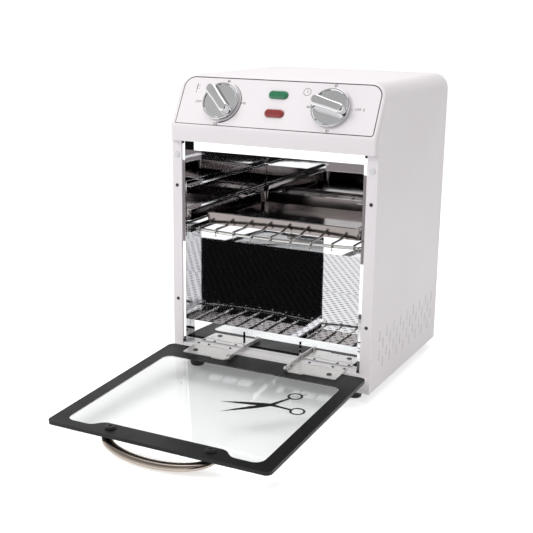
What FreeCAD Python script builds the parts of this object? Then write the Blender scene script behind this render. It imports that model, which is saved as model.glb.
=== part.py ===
import FreeCAD, Part
import math
import os

# Instrument sterilizer: a countertop dry-heat cabinet with a drop-down glass door.
# Millimetres, +Z up. The cabinet's front faces -Y, where the door opens to.
# Everything is laid out from the plane of the front stiles (y = 0), the middle of the
# width (x = 0) and the worktop (z = 0). At the end each piece is moved back by half the
# cabinet's depth, so that the origin lies on the worktop under the middle of the cabinet.

V = FreeCAD.Vector
AXIS_X = V(1, 0, 0)
AXIS_Y = V(0, 1, 0)
AXIS_Z = V(0, 0, 1)

# Cabinet
cabinet_width = 270.0
cabinet_depth = 251.0
cabinet_height = 363.0
foot_height = 12.0
shell_sheet = 1.2
top_edge_radius = 20.0
stile_width = 13.1
rear_flange = 11.0

# Control fascia, part of the shell
fascia_band_height = 78.2
fascia_proud = 5.5
fascia_lip = 19.0
fascia_slant = 28.2
fascia_edge_radius = 4.5
fascia_underlip = 8.0
knob_from_side = 63.6
knob_rise = 33.0
lamp_rise_high = 45.9
lamp_rise_low = 22.5
lamp_offset = 1.8

# Side ventilation slots
vent_columns = 17
vent_pitch = 12.4
vent_first = 29.5
vent_slot_height = 14.0
vent_slot_width = 1.6
vent_row_pitch = 24.0
vent_top_row = 64.5
vent_stagger = 11.6

# Heated chamber
liner_sheet = 0.8
chamber_side_gap = 17.2
chamber_recess = 12.0
chamber_rear_gap = 29.5
chamber_floor_height = 52.3
chamber_strip_height = 13.1
liner_flange = 11.0
floor_slot_length = 9.0
floor_slot_width = 3.0
floor_slot_pitch_x = 28.0
floor_slot_pitch_y = 22.0
floor_slot_margin = 10.0
air_slot_count = 3
air_slot_length = 40.0
air_slot_height = 5.0

# Rail, ledge and bottom of the cabinet
rail_height = 24.1
rail_setback = 0.3
ledge_depth = 15.5
ledge_lip = 6.0
pan_upstand = 14.0
base_slot_count = 7
base_slot_length = 60.0
base_slot_width = 4.0
base_slot_pitch = 16.0

# Shelf runners, wire rack and tray
runner_sheet = 0.8
runner_ledge = 7.5
runner_pitch = 29.0
runner_levels = 3
runner_lowest = 169.8
runner_front_gap = 2.0
runner_rear_gap = 4.0
rack_rod_radius = 2.0
rack_wire_radius = 1.4
rack_wire_count = 9
rack_wire_side_gap = 9.1
rack_side_gap = 2.3
rack_front = 16.0
rack_bow = 10.0
rack_rear_gap = 6.0
rack_corner_radius = 7.0
rack_hook_drop = 5.0
tray_side_gap = 4.0
tray_front = 27.0
tray_rear_gap = 22.5
tray_height = 15.4
tray_sheet = 0.8
tray_corner_radius = 8.0
tray_corner_chords = 5
tray_taper = 1.6
tray_lip = 3.0

# Door
glass_thickness = 4.0
door_side_gap = 0.6
glass_corner_radius = 7.0
door_top_gap = 1.3
door_droop = 2.75
handle_hole_spacing = 121.4
handle_hole_inset = 14.8
handle_hole_radius = 3.2
handle_bulge = 22.0
handle_drop = 7.0
handle_strap_width = 15.0
handle_strap_thickness = 5.6
handle_boss_radius = 5.6
handle_boss_height = 4.2
handle_sides = 16
handle_cap_radius = 6.2
handle_cap_height = 2.8
handle_cap_bevel = 0.9

# Door hinges
hinge_axis_y = -2.0
hinge_axis_height = 23.2
hinge_pin_radius = 0.9
hinge_barrel_radius = 1.9
hinge_leaf_sheet = 1.0
hinge_from_side = 31.0
hinge_leaf_width = 63.0
hinge_leaf_reach = 28.0
hinge_base_reach = 9.5
hinge_knuckles = 3
hinge_sides = 16
hinge_knuckle_gap = 0.3
hinge_edge_offset = 6.6
hinge_pad_thickness = 0.4
hinge_pin_clearance = 0.05
leaf_screw_radius = 1.8
leaf_screw_from_axis = 17.5
leaf_screw_outboard = 50.5

# Stay arms that hold the open door
stay_inboard = 2.1
stay_sheet = 1.5
stay_height = 4.6
stay_pivot_reach = 27.0
stay_pivot_rise = 4.0
stay_pin_radius = 1.2
stay_rest_angle = 2.0
stay_ratio = -0.612
stay_slot_width = 3.0
stay_slot_top = 47.4
stay_head_width = 7.0
stay_head_height = 7.0
stay_head_thickness = 1.6

# Heater
element_radius = 3.5
element_height = 40.0
element_places = (85.0, 160.0)
element_overhang = 9.0
bushing_size = 13.0
bushing_length = 7.0
shield_front = 56.0
shield_height = 30.0
shield_sheet = 0.8

# Knobs and what they turn
knob_radius = 23.8
knob_skirt = 4.6
knob_gap = 0.6
knob_edge_bevel = 1.2
knob_dish = 0.7
knob_sides = 36
knob_grip_length = 45.0
knob_grip_width = 12.0
knob_grip_height = 16.0
knob_shaft_radius = 3.0
knob_shaft_reach = 13.0
knob_bore_clearance = 0.03
bush_clearance = 0.05
bush_radius = 4.5
thermostat_width = 34.0
thermostat_depth = 19.0
timer_width = 40.0
timer_depth = 27.0

# Pilot lamps
lamp_length = 25.0
lamp_width = 10.2
lamp_proud = 2.6
lamp_bevel = 1.3
lamp_stem = 4.0
lamp_body_depth = 17.0
panel_clearance = 0.15
rest_gap = 0.3

# Small parts
foot_radius = 11.0
foot_taper = 2.6
foot_centre = 110.0
foot_inset = 17.0
bulb_radius = 2.6
bulb_length = 66.0
bulb_offset = 71.4
bulb_front = 60.0
capillary_radius = 1.0
capillary_lead = 30.0
bumper_below_fascia = 18.0
bumper_radius = 4.0
bumper_height = 1.1
insulation_thickness = 11.5
terminal_length = 48.0
terminal_size = 14.0
terminal_gap = 6.0
terminal_pitch = 12.0
terminal_slot = 3.0
gland_rise = 30.0
gland_barrel_length = 10.0
gland_size = 24.0
gland_bore = 3.6
gland_collar_size = 30.0
gland_collar = 2.5
rear_panel_sheet = 1.0
rear_panel_margin = 3.5
rear_slot_rows = 6
rear_slot_pitch = 9.0
rear_slot_from_top = 45.0
rear_slot_offset = 50.0
rear_slot_length = 56.0
rear_slot_height = 3.0

# Values worked out from the sizes above
half_width = cabinet_width / 2.0
base_z = foot_height
top_z = base_z + cabinet_height
opening_half = half_width - stile_width
fascia_z = top_z - fascia_band_height
knob_spacing = cabinet_width - 2 * knob_from_side
slant = math.radians(fascia_slant)
floor_z = base_z + chamber_floor_height
ceiling_z = fascia_z - chamber_strip_height
rail_z = base_z + rail_height
pan_top = base_z + shell_sheet
chamber_half_width = half_width - chamber_side_gap
chamber_rear = cabinet_depth - chamber_rear_gap
liner_outer = chamber_half_width + liner_sheet
axis_z = base_z + hinge_axis_height
glass_top = axis_z + hinge_barrel_radius - hinge_leaf_sheet - hinge_pad_thickness
glass_rear = hinge_axis_y - hinge_edge_offset
glass_length = (fascia_z - door_top_gap) - (axis_z + hinge_edge_offset)
glass_front = glass_rear - glass_length
glass_half_width = half_width - door_side_gap
hinge_leaf_inner = half_width - hinge_from_side - hinge_leaf_width
stay_centre = hinge_leaf_inner - stay_inboard
leaf_top = axis_z + hinge_barrel_radius
door_joint = V(0, hinge_axis_y, axis_z)
rack_z = base_z + runner_lowest + rack_rod_radius + rest_gap
rack_half = chamber_half_width - rack_side_gap - rack_rod_radius
rack_wire_z = rack_z + rack_rod_radius + rack_wire_radius
rack_wire_pitch = (rack_half - rack_wire_side_gap) * 2 / (rack_wire_count - 1)
rack_rear = chamber_rear - rack_rear_gap
tray_half_width = rack_half - tray_side_gap
tray_depth = chamber_rear - tray_rear_gap - tray_front
tray_z = rack_wire_z + rack_wire_radius + rest_gap
stay_closing_angle = 90.0 + door_droop


def box(x0, x1, y0, y1, z0, z1):
    return Part.makeBox(x1 - x0, y1 - y0, z1 - z0, V(x0, y0, z0))


def cylinder(centre, direction, radius, length):
    return Part.makeCylinder(radius, length, centre, direction)


def prism(points, direction):
    return flat_face(points).extrude(direction)


def plain_round(centre, direction, radius, length, sides=12):
    """A many-sided stand-in for a small round bar or hole that is hidden or repeated."""
    placing = FreeCAD.Placement(centre, FreeCAD.Rotation(AXIS_Z, direction))
    corners = ring_points(radius, sides)
    bar = prism(corners, V(0, 0, length))
    bar.Placement = placing
    return bar


def tapered_round(centre, low_radius, top_radius, height, sides):
    """An upright many-sided cone, cut off level."""
    rings = []
    for radius, z in ((low_radius, 0.0), (top_radius, height)):
        rings.append([centre + c + V(0, 0, z) for c in ring_points(radius, sides)])
    return flat_sided(rings)


def flat_sided(rings):
    """A solid through level rings of corners whose edges run side by side, with a flat face between each two."""
    faces = [flat_face(rings[0]), flat_face(rings[-1])]
    for low, high in zip(rings, rings[1:]):
        for index in range(len(low)):
            after = (index + 1) % len(low)
            faces.append(flat_face([low[index], low[after], high[after], high[index]]))
    solid = Part.Solid(Part.Shell(faces))
    if solid.Volume < 0:
        solid.reverse()
    return solid


def flat_face(corners):
    return Part.Face(Part.makePolygon(corners + [corners[0]]))


def ring_points(radius, sides):
    """Corners of a level many-sided ring round the origin, its flats half way between the radii."""
    reach = radius / math.sqrt(math.cos(math.pi / sides))
    angles = [(k + 0.5) * 2 * math.pi / sides for k in range(sides)]
    return [V(reach * math.cos(a), reach * math.sin(a), 0) for a in angles]


def fused(shapes):
    body = shapes[0].fuse(shapes[1:]) if len(shapes) > 1 else shapes[0]
    return body.removeSplitter()


def mirrored(shape):
    return shape.mirror(V(0, 0, 0), AXIS_X)


def turned(shape, centre, direction, angle):
    copy = shape.copy()
    copy.rotate(centre, direction, angle)
    return copy


def rounded_plate(x0, x1, y0, y1, z, height, radius):
    """A flat plate with rounded corners, standing on z."""
    plate = box(x0, x1, y0, y1, z, z + height)
    edges = [e for e in plate.Edges if abs(e.tangentAt(e.FirstParameter).z) > 0.9]
    return plate.makeFillet(radius, edges)


def door_place(shape):
    """Lets a door piece, drawn lying level, droop as the open door does."""
    return turned(shape, door_joint, AXIS_X, door_droop)


def panel_matrix(x, rise):
    """Places a local frame on the slanted fascia: x across, y up the slope, z outwards."""
    foot = V(x, -fascia_proud, fascia_z + fascia_lip)
    up = V(0, math.sin(slant), math.cos(slant))
    out = V(0, -math.cos(slant), math.sin(slant))
    at = foot + up * rise
    return FreeCAD.Matrix(1, up.x, out.x, at.x, 0, up.y, out.y, at.y, 0, up.z, out.z, at.z, 0, 0, 0, 1)


def on_panel(shape, x, rise):
    return shape.transformGeometry(panel_matrix(x, rise))


def seated(shape, x, rise):
    """Moves a shape rigidly from the local panel frame onto the fascia."""
    copy = shape.copy()
    copy.Placement = FreeCAD.Placement(panel_matrix(x, rise)).multiply(copy.Placement)
    return copy


# Outer shell

def hood_body(inset, bottom, rear):
    """The cabinet's outside form, moved inwards by inset, as a solid."""
    low = -fascia_proud + inset
    top = top_z - inset
    fold_z = fascia_z + fascia_lip
    shift = inset / math.cos(slant)
    rise = math.tan(slant)
    fold = fold_z + (low + fascia_proud - shift) / rise
    brow_y = (top - fold_z) * rise - fascia_proud + shift
    lower = fascia_z + inset
    side = [
        V(-half_width, inset, bottom),
        V(-half_width, inset, lower),
        V(-half_width, low, lower),
        V(-half_width, low, fold),
        V(-half_width, brow_y, top),
        V(-half_width, rear, top),
        V(-half_width, rear, bottom),
    ]
    outline = prism(side, V(cabinet_width, 0, 0))
    x = half_width - inset
    section = box(-x, x, -fascia_proud - 10, rear + 10, bottom - 10, top)
    corners = [e for e in section.Edges
               if abs(e.CenterOfMass.z - top) < 0.01 and abs(abs(e.CenterOfMass.x) - x) < 0.01]
    section = section.makeFillet(top_edge_radius - inset, corners)
    body = outline.common(section).removeSplitter()
    return body.makeFillet(fascia_edge_radius - inset, fascia_edges(body, x, brow_y))


def fascia_edges(body, x, brow_y):
    """Edges round the fascia: up both sides, over the corners and along the top."""
    found = []
    for edge in body.Edges:
        c = edge.CenterOfMass
        if c.z < fascia_z + 2 or edge.BoundBox.YMax > brow_y + 0.5:
            continue
        at_side = abs(abs(c.x) - x) < 0.01 and abs(edge.tangentAt(edge.FirstParameter).x) < 0.01
        if at_side or c.z > top_z - top_edge_radius - 1:
            found.append(edge)
    return found


def side_vents(sign):
    """Slots in one side wall, in columns that stand high and low by turns."""
    cuts = []
    x0 = sign * half_width - 4
    for column in range(vent_columns):
        y = vent_first + column * vent_pitch
        drop = vent_stagger if column % 2 else 0.0
        for row in range(2):
            z = base_z + vent_top_row - drop - row * vent_row_pitch
            cuts.append(box(x0, x0 + 8, y - vent_slot_width / 2, y + vent_slot_width / 2,
                            z - vent_slot_height / 2, z + vent_slot_height / 2))
    return cuts


def panel_cuts():
    """Holes in the slanted fascia for the two shafts and the two lamps."""
    deep = 12
    cuts = []
    for side in (-1, 1):
        hole = plain_round(V(0, 0, -deep), AXIS_Z, bush_radius + panel_clearance, 2 * deep)
        cuts.append(seated(hole, side * knob_spacing / 2, knob_rise))
    for rise in (lamp_rise_low, lamp_rise_high):
        gap = 2 * panel_clearance
        slot = stadium(lamp_length + gap, lamp_width + gap, -deep, 2 * deep)
        cuts.append(seated(slot, lamp_offset, rise))
    return cuts


def outer_shell():
    bottom = base_z
    outer = hood_body(0, bottom, cabinet_depth)
    inner = hood_body(shell_sheet, bottom - 20, cabinet_depth - shell_sheet)
    shell = outer.cut(inner)
    opening = box(-opening_half, opening_half, -1, shell_sheet + 1, bottom - 1, fascia_z)
    flange_x = half_width - rear_flange
    rear_hole = box(-flange_x, flange_x, cabinet_depth - 5, cabinet_depth + 5,
                    bottom - 1, top_z - rear_flange)
    underlip = box(-opening_half, opening_half, 0, fascia_underlip, fascia_z, fascia_z + shell_sheet)
    shell = shell.fuse(underlip)
    cuts = [opening, rear_hole] + side_vents(-1) + side_vents(1) + panel_cuts()
    return shell.cut(cuts).removeSplitter()


def stile_centre():
    return half_width - stile_width / 2


def rear_panel():
    x = half_width - rear_panel_margin
    z0 = base_z + rear_panel_margin
    z1 = top_z - rear_panel_margin
    y0 = cabinet_depth
    panel = box(-x, x, y0, y0 + rear_panel_sheet, z0, z1)
    corners = [e for e in panel.Edges
               if abs(e.tangentAt(e.FirstParameter).y) > 0.9 and e.CenterOfMass.z > z1 - 1]
    panel = panel.makeFillet(top_edge_radius - rear_panel_margin, corners)
    cuts = []
    for row in range(rear_slot_rows):
        z = top_z - rear_slot_from_top - row * rear_slot_pitch
        for middle in (-rear_slot_offset, rear_slot_offset):
            cuts.append(box(middle - rear_slot_length / 2, middle + rear_slot_length / 2,
                            y0 - 1, y0 + 3, z, z + rear_slot_height))
    cuts.append(gland_block(-3, 6, gland_size))
    return panel.cut(cuts)


def gland_place():
    return V(-opening_half * 0.7, cabinet_depth, base_z + gland_rise)


def gland_block(start, length, size):
    """A square block round the gland's middle, from start along Y."""
    at = gland_place()
    half = size / 2
    return box(at.x - half, at.x + half, at.y + start, at.y + start + length, at.z - half, at.z + half)


def cord_gland():
    """Snap-in grommet for the mains lead: a square collar outside and a barrel through the panel."""
    collar = gland_block(rear_panel_sheet, gland_collar, gland_collar_size)
    barrel = gland_block(-gland_barrel_length, gland_barrel_length + rear_panel_sheet, gland_size)
    bore = cylinder(gland_place() - AXIS_Y * (gland_barrel_length + 2), AXIS_Y, gland_bore,
                    gland_barrel_length + 20)
    return fused([collar, barrel]).cut(bore)


# Bottom pan with the front rail

def base_pan():
    x = half_width - shell_sheet
    y1 = cabinet_depth - shell_sheet
    t = shell_sheet
    rail_x = opening_half - 0.3
    plate = box(-x, x, t, y1, base_z, base_z + t)
    parts = [plate]
    for side in (-1, 1):
        x0, x1 = sorted((side * x, side * (x - t)))
        parts.append(box(x0, x1, t, y1, base_z, base_z + pan_upstand))
    parts.append(box(-x, x, y1 - t, y1, base_z, base_z + pan_upstand))
    front = box(-rail_x, rail_x, rail_setback, rail_setback + ledge_depth, base_z, rail_z)
    edge = [e for e in front.Edges
            if abs(e.CenterOfMass.y - rail_setback) < 0.01 and abs(e.CenterOfMass.z - rail_z) < 0.01]
    front = front.makeFillet(1.6, edge)
    hollow = box(-rail_x - 1, rail_x + 1, rail_setback + t, rail_setback + ledge_depth + 1,
                 base_z + t, rail_z - t)
    front = front.cut(hollow)
    lip_y = rail_setback + ledge_depth
    lip = box(-rail_x, rail_x, lip_y - t, lip_y, rail_z - ledge_lip, rail_z)
    pan = fused(parts + [front, lip])
    cuts = []
    for index in range(base_slot_count):
        y = cabinet_depth * 0.5 + (index - (base_slot_count - 1) / 2) * base_slot_pitch
        cuts.append(box(-base_slot_length / 2, base_slot_length / 2, y - base_slot_width / 2,
                        y + base_slot_width / 2, base_z - 1, base_z + t + 1))
    return pan.cut(cuts)


def foot_places():
    rear = cabinet_depth - foot_inset
    return [(side * foot_centre, y) for side in (-1, 1) for y in (foot_inset, rear)]


def feet():
    """Four slightly conical rubber buttons."""
    return Part.makeCompound([tapered_round(V(x, y, 0), foot_radius - foot_taper, foot_radius, foot_height, 16)
                              for x, y in foot_places()])


# Heated chamber

def chamber_liner():
    """Folded mirror sheet: two sides, a back and a ceiling, with flanges behind the stiles."""
    t = liner_sheet
    front = shell_sheet
    w = chamber_half_width
    parts = []
    for side in (-1, 1):
        x0, x1 = sorted((side * w, side * (w + t)))
        parts.append(box(x0, x1, front, chamber_rear + t, rail_z, ceiling_z + t))
        foot_y = rail_setback + ledge_depth + 0.4
        parts.append(box(x0, x1, foot_y, chamber_rear + t, pan_top, rail_z + 1))
        f0, f1 = sorted((side * w, side * (w + liner_flange)))
        parts.append(box(f0, f1, front, front + t, rail_z + 4, fascia_z - 4))
        parts.append(box(x0, x1, front, chamber_recess + t, ceiling_z, fascia_z - 0.4))
    parts.append(box(-w, w, chamber_rear, chamber_rear + t, pan_top, ceiling_z + t))
    parts.append(box(-w, w, chamber_recess, chamber_rear + t, ceiling_z, ceiling_z + t))
    parts.append(box(-w, w, chamber_recess, chamber_recess + t, ceiling_z, fascia_z - 0.4))
    liner = fused(parts)
    cuts = []
    for side in (-1, 1):
        x0, x1 = sorted((side * (w - 2), side * (w + 3)))
        for index in range(air_slot_count):
            y = 40 + index * (air_slot_length + 20)
            cuts.append(box(x0, x1, y, y + air_slot_length, base_z + 10, base_z + 10 + air_slot_height))
        for y in element_places:
            cuts.append(bushing_hole(x0, x1, y))
    return liner.cut(cuts)


def chamber_floor():
    """Slotted plate over the heater, folded down in front as the apron under the opening."""
    t = liner_sheet
    x = chamber_half_width - rest_gap
    y1 = chamber_rear - rest_gap
    plate = box(-x, x, chamber_recess, y1, floor_z - t, floor_z)
    apron = box(-x, x, chamber_recess, chamber_recess + t, rail_z, floor_z)
    body = fused([plate, apron])
    cuts = floor_slots(x, y1)
    for side in (-1, 1):
        s = side * stay_centre
        cuts.append(box(s - stay_slot_width / 2, s + stay_slot_width / 2, chamber_recess - 1,
                        chamber_recess + t + 1, rail_z - 1, base_z + stay_slot_top))
    return body.cut(Part.makeCompound(cuts))


def floor_slots(x_limit, rear):
    """Short slots in rows, every second row moved by half a pitch."""
    cuts = []
    first = chamber_recess + floor_slot_margin
    rows = int((rear - floor_slot_margin - first) / floor_slot_pitch_y) + 1
    half = x_limit - floor_slot_margin - floor_slot_length / 2
    for row in range(rows):
        y = first + row * floor_slot_pitch_y
        offset = floor_slot_pitch_x / 2 if row % 2 else 0.0
        count = int((half - offset) / floor_slot_pitch_x)
        places = [offset + k * floor_slot_pitch_x for k in range(count + 1)]
        places += [-p for p in places if p > 0.01]
        for x in places:
            cuts.append(box(x - floor_slot_length / 2, x + floor_slot_length / 2,
                            y - floor_slot_width / 2, y + floor_slot_width / 2, floor_z - 3, floor_z + 1))
    return cuts


def shelf_runner(side):
    """A comb of shelf ledges on one side wall: a back strip with ledges folded inwards."""
    t = runner_sheet
    y0 = shell_sheet + runner_front_gap
    y1 = chamber_rear - runner_rear_gap
    wall = chamber_half_width
    low = base_z + runner_lowest
    strip = sorted((side * wall, side * (wall - t)))
    parts = [box(strip[0], strip[1], y0, y1, low - 6, low + (runner_levels - 1) * runner_pitch + 6)]
    for level in range(runner_levels):
        z = low + level * runner_pitch
        ledge = sorted((side * wall, side * (wall - runner_ledge)))
        parts.append(box(ledge[0], ledge[1], y0, y1, z - t, z))
    return fused(parts)


def rod(points, radius, sides):
    """A bent rod along a line of points, mitred at each, with as many sides as asked."""
    path = Part.makePolygon(points)
    heading = (points[1] - points[0]).normalize()
    placing = FreeCAD.Placement(points[0], FreeCAD.Rotation(AXIS_Z, heading))
    corners = [placing.multVec(c) for c in ring_points(radius, sides)]
    return path.makePipeShell([Part.makePolygon(corners + [corners[0]])], True, False, 1)


def rack_bow_radius():
    """Radius of the front rod's bow, from its rise over the width between the corners."""
    half = rack_half - rack_corner_radius
    return (half * half + rack_bow * rack_bow) / (2 * rack_bow)


def rack_front_y(x):
    """The front rod's place along its bow."""
    radius = rack_bow_radius()
    return rack_front - rack_bow + radius - math.sqrt(radius * radius - x * x)


def rack_frame():
    """U of rod: a bowed front that runs into the sides through tangent corners, and a rear rod."""
    z = rack_z
    big = rack_bow_radius()
    r = rack_corner_radius
    middle = rack_front - rack_bow + big
    swing = math.asin((rack_half - r) / (big - r))
    cx = rack_half - r
    cy = middle - (big - r) * math.cos(swing)

    def on_bow(side, angle):
        return V(side * big * math.sin(angle), middle - big * math.cos(angle), z)

    def on_corner(side, angle):
        return V(side * (cx + r * math.sin(angle)), cy - r * math.cos(angle), z)

    steps = 4
    turns = [swing + (math.pi / 2 - swing) * k / steps for k in range(steps + 1)]
    points = [V(-rack_half, rack_rear, z)]
    points += [on_corner(-1, angle) for angle in reversed(turns)]
    points += [on_bow(1, swing * k / 5) for k in range(-4, 5)]
    points += [on_corner(1, angle) for angle in turns]
    points.append(V(rack_half, rack_rear, z))
    inner = rack_half - rack_rod_radius
    rear = [V(-inner, rack_rear - 8, z), V(inner, rack_rear - 8, z)]
    return [rod(points, rack_rod_radius, 10), rod(rear, rack_rod_radius, 10)]


def rack_wire(x):
    """One cross wire that turns down in front of the frame's bow."""
    front = rack_front_y(x) - rack_rod_radius - rack_wire_radius
    top = rack_wire_z
    points = [V(x, rack_rear + 1, top), V(x, front, top), V(x, front, rack_z - rack_hook_drop)]
    return rod(points, rack_wire_radius, 8)


def wire_rack():
    solids = rack_frame()
    for index in range(rack_wire_count):
        solids.append(rack_wire((index - (rack_wire_count - 1) / 2) * rack_wire_pitch))
    return Part.makeCompound(solids)


def tray_outline(inset, z):
    """Corners of the tray's plan, moved inwards from its lip's edge, each corner rounded with a few chords."""
    radius = tray_corner_radius + tray_lip - inset
    x = tray_half_width - inset - radius
    y0 = tray_front + inset + radius
    y1 = tray_front + tray_depth - inset - radius
    points = []
    for corner, (cx, cy) in enumerate(((x, y1), (-x, y1), (-x, y0), (x, y0))):
        for step in range(tray_corner_chords + 1):
            angle = math.pi / 2 * (corner + step / tray_corner_chords)
            points.append(V(cx + radius * math.cos(angle), cy + radius * math.sin(angle), z))
    return points


def instrument_tray():
    """Shallow pan, drawn with tapered walls and a flat lip."""
    top = tray_z + tray_height
    outer = flat_sided([tray_outline(tray_lip + tray_taper, tray_z), tray_outline(tray_lip, top)])
    inner = flat_sided([tray_outline(tray_lip + tray_taper + tray_sheet, tray_z + tray_sheet),
                        tray_outline(tray_lip + tray_sheet, top + 0.01)])
    rim = prism(tray_outline(0, top - tray_sheet), V(0, 0, tray_sheet))
    return outer.fuse(rim).cut(inner).removeSplitter()


# Heater and insulation

def bushing_hole(x0, x1, y):
    z = base_z + element_height
    half = bushing_size / 2
    return box(x0, x1, y - half, y + half, z - half, z + half)


def heating_elements():
    """Two straight sheathed rods across the bottom."""
    z = base_z + element_height
    x = liner_outer + element_overhang
    return Part.makeCompound([plain_round(V(-x, y, z), AXIS_X, element_radius, 2 * x)
                              for y in element_places])


def element_bushings():
    """Ceramic blocks that carry the rods in the liner's side walls."""
    z = base_z + element_height
    solids = []
    for y in element_places:
        bore = plain_round(V(-half_width, y, z), AXIS_X, element_radius, cabinet_width)
        for side in (-1, 1):
            x0, x1 = sorted((side * chamber_half_width, side * (chamber_half_width + bushing_length)))
            block = bushing_hole(x0, x1, y)
            c0, c1 = sorted((side * liner_outer, side * (liner_outer + 3)))
            collar = box(c0, c1, y - bushing_size / 2 - 2, y + bushing_size / 2 + 2,
                         z - bushing_size / 2 - 2, z + bushing_size / 2 + 2)
            solids.append(fused([block, collar]).cut(bore))
    return Part.makeCompound(solids)


def heat_shield():
    """Reflector under the element, standing on the pan by its folded sides."""
    t = shield_sheet
    x = chamber_half_width - 0.4
    y0, y1 = shield_front, chamber_rear - 0.4
    top = base_z + shield_height
    parts = [box(-x, x, y0, y1, top - t, top)]
    for side in (-1, 1):
        x0, x1 = sorted((side * x, side * (x - t)))
        parts.append(box(x0, x1, y0, y1, pan_top, top))
    return fused(parts)


def insulation_wrap():
    """Blanket over the sides and the ceiling of the liner, with a channel for the sensing bulb."""
    t = insulation_thickness
    y0 = chamber_recess + liner_sheet + 2
    y1 = chamber_rear
    low = floor_z + 4
    x = liner_outer
    top = ceiling_z + liner_sheet
    outer = box(-x - t, x + t, y0, y1, low, top + t)
    edges = [e for e in outer.Edges
             if abs(e.CenterOfMass.z - top - t) < 0.01 and abs(abs(e.CenterOfMass.x) - x - t) < 0.01]
    outer = outer.makeFillet(t * 0.8, edges)
    gap = 2 * bulb_radius + 1
    channel = box(-bulb_offset - gap / 2, -bulb_offset + gap / 2, y0 - 1, bulb_front + bulb_length + 1,
                  top - 1, top + gap)
    return outer.cut([box(-x, x, y0 - 1, y1 + 1, low - 1, top), channel])


def insulation_back():
    x = chamber_half_width - 2
    y0 = chamber_rear + liner_sheet
    return box(-x, x, y0, y0 + insulation_thickness, floor_z + 4, ceiling_z)


def sensing_bulb():
    """Thermostat's bulb on the liner's ceiling, with its capillary led forward and up."""
    z = ceiling_z + liner_sheet + bulb_radius
    bulb = plain_round(V(-bulb_offset, bulb_front, z), AXIS_Y, bulb_radius, bulb_length)
    lead = plain_round(V(-bulb_offset, bulb_front - capillary_lead, z), AXIS_Y, capillary_radius,
                       capillary_lead + 1, 8)
    return bulb.fuse(lead).removeSplitter()


def terminal_block():
    """Ceramic mains terminals on the pan behind the liner, with a slot between each pair."""
    y0 = chamber_rear + liner_sheet + terminal_gap
    y1 = y0 + terminal_size
    top = pan_top + terminal_size
    body = box(-terminal_length / 2, terminal_length / 2, y0, y1, pan_top, top)
    half = terminal_slot / 2
    cuts = [box(x - half, x + half, y0 - 1, y1 + 1, top - terminal_size * 3 / 7, top + 1)
            for x in (-terminal_pitch, 0, terminal_pitch)]
    return body.cut(cuts)


# Door

def stadium_points(length, width, z, chords=8):
    """Corners of a bar with round ends, each end drawn with a few chords."""
    r = width / 2
    half = length / 2 - r
    points = []
    for end in (1, -1):
        for step in range(chords + 1):
            angle = -math.pi / 2 + math.pi * step / chords
            points.append(V(end * (half + r * math.cos(angle)), end * r * math.sin(angle), z))
    return points


def stadium(length, width, z, height):
    return prism(stadium_points(length, width, z), V(0, 0, height))


def handle_places():
    y = glass_front + handle_hole_inset
    return [V(side * handle_hole_spacing / 2, y, glass_top) for side in (-1, 1)]


def leaf_screw_places():
    x = hinge_leaf_inner + leaf_screw_outboard
    return [V(side * x, hinge_axis_y - leaf_screw_from_axis, leaf_top) for side in (-1, 1)]


def door_glass():
    z0 = glass_top - glass_thickness
    plate = rounded_plate(-glass_half_width, glass_half_width, glass_front, glass_rear, z0,
                          glass_thickness, glass_corner_radius)
    rims = [e for e in plate.Edges if abs(e.CenterOfMass.z - z0) < 0.01
            or abs(e.CenterOfMass.z - glass_top) < 0.01]
    plate = plate.makeChamfer(0.4, rims)
    cuts = [plain_round(V(p.x, p.y, z0 - 1), AXIS_Z, handle_hole_radius, glass_thickness + 2)
            for p in handle_places()]
    cuts += [plain_round(V(p.x, p.y, z0 - 1), AXIS_Z, leaf_screw_radius + 0.6, glass_thickness + 2)
             for p in leaf_screw_places()]
    return door_place(plate.cut(cuts))


def handle_section(t):
    """One flattened oval across the handle's strap, sixteen-sided; t runs from -1 to 1."""
    half = handle_hole_spacing / 2
    posts = handle_places()
    y_post = posts[0].y
    under = glass_top - glass_thickness - handle_boss_height * 0.6
    swell = math.cos(t * math.pi / 2)
    swell = max(swell, 0.0) ** 0.8
    angle = t * math.pi / 2 * 0.96
    x = half * math.sin(angle) / math.sin(math.pi / 2 * 0.96)
    bow = (math.cos(angle) - math.cos(math.pi / 2 * 0.96)) / (1 - math.cos(math.pi / 2 * 0.96))
    centre = V(x, y_post - handle_bulge * bow, under - handle_drop * bow)
    dx = half * math.cos(angle)
    dy = handle_bulge * math.sin(angle)
    dz = handle_drop * math.sin(angle)
    heading = V(dx, dy, dz).normalize()
    slope = V(0, -handle_bulge, -handle_drop).normalize()
    across = (slope - heading * slope.dot(heading)).normalize()
    normal = heading.cross(across)
    major = (handle_strap_width * (0.55 + 0.45 * swell)) / 2
    minor = (handle_strap_thickness * (0.75 + 0.25 * swell)) / 2
    points = []
    for step in range(handle_sides + 1):
        turn = step * 2 * math.pi / handle_sides
        points.append(centre + across * (major * math.cos(turn)) + normal * (minor * math.sin(turn)))
    return Part.makePolygon(points)


def door_handle():
    """Cast bow pull: a broad strap that swings out past the door's free edge, on two bosses."""
    steps = 12
    sections = [handle_section(-1 + 2 * i / steps) for i in range(steps + 1)]
    strap = Part.makeLoft(sections, True, True)
    top = glass_top - glass_thickness
    parts = [strap]
    for p in handle_places():
        low = V(p.x, p.y, top - handle_boss_height)
        parts.append(plain_round(low, AXIS_Z, handle_boss_radius, handle_boss_height, 24))
    body = parts[0].fuse(parts[1:])
    bores = [plain_round(V(p.x, p.y, top - handle_boss_height * 0.7), AXIS_Z, handle_screw_radius(), 10)
             for p in handle_places()]
    return door_place(body.cut(bores))


def handle_screw_radius():
    return handle_hole_radius - 1.0


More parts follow.
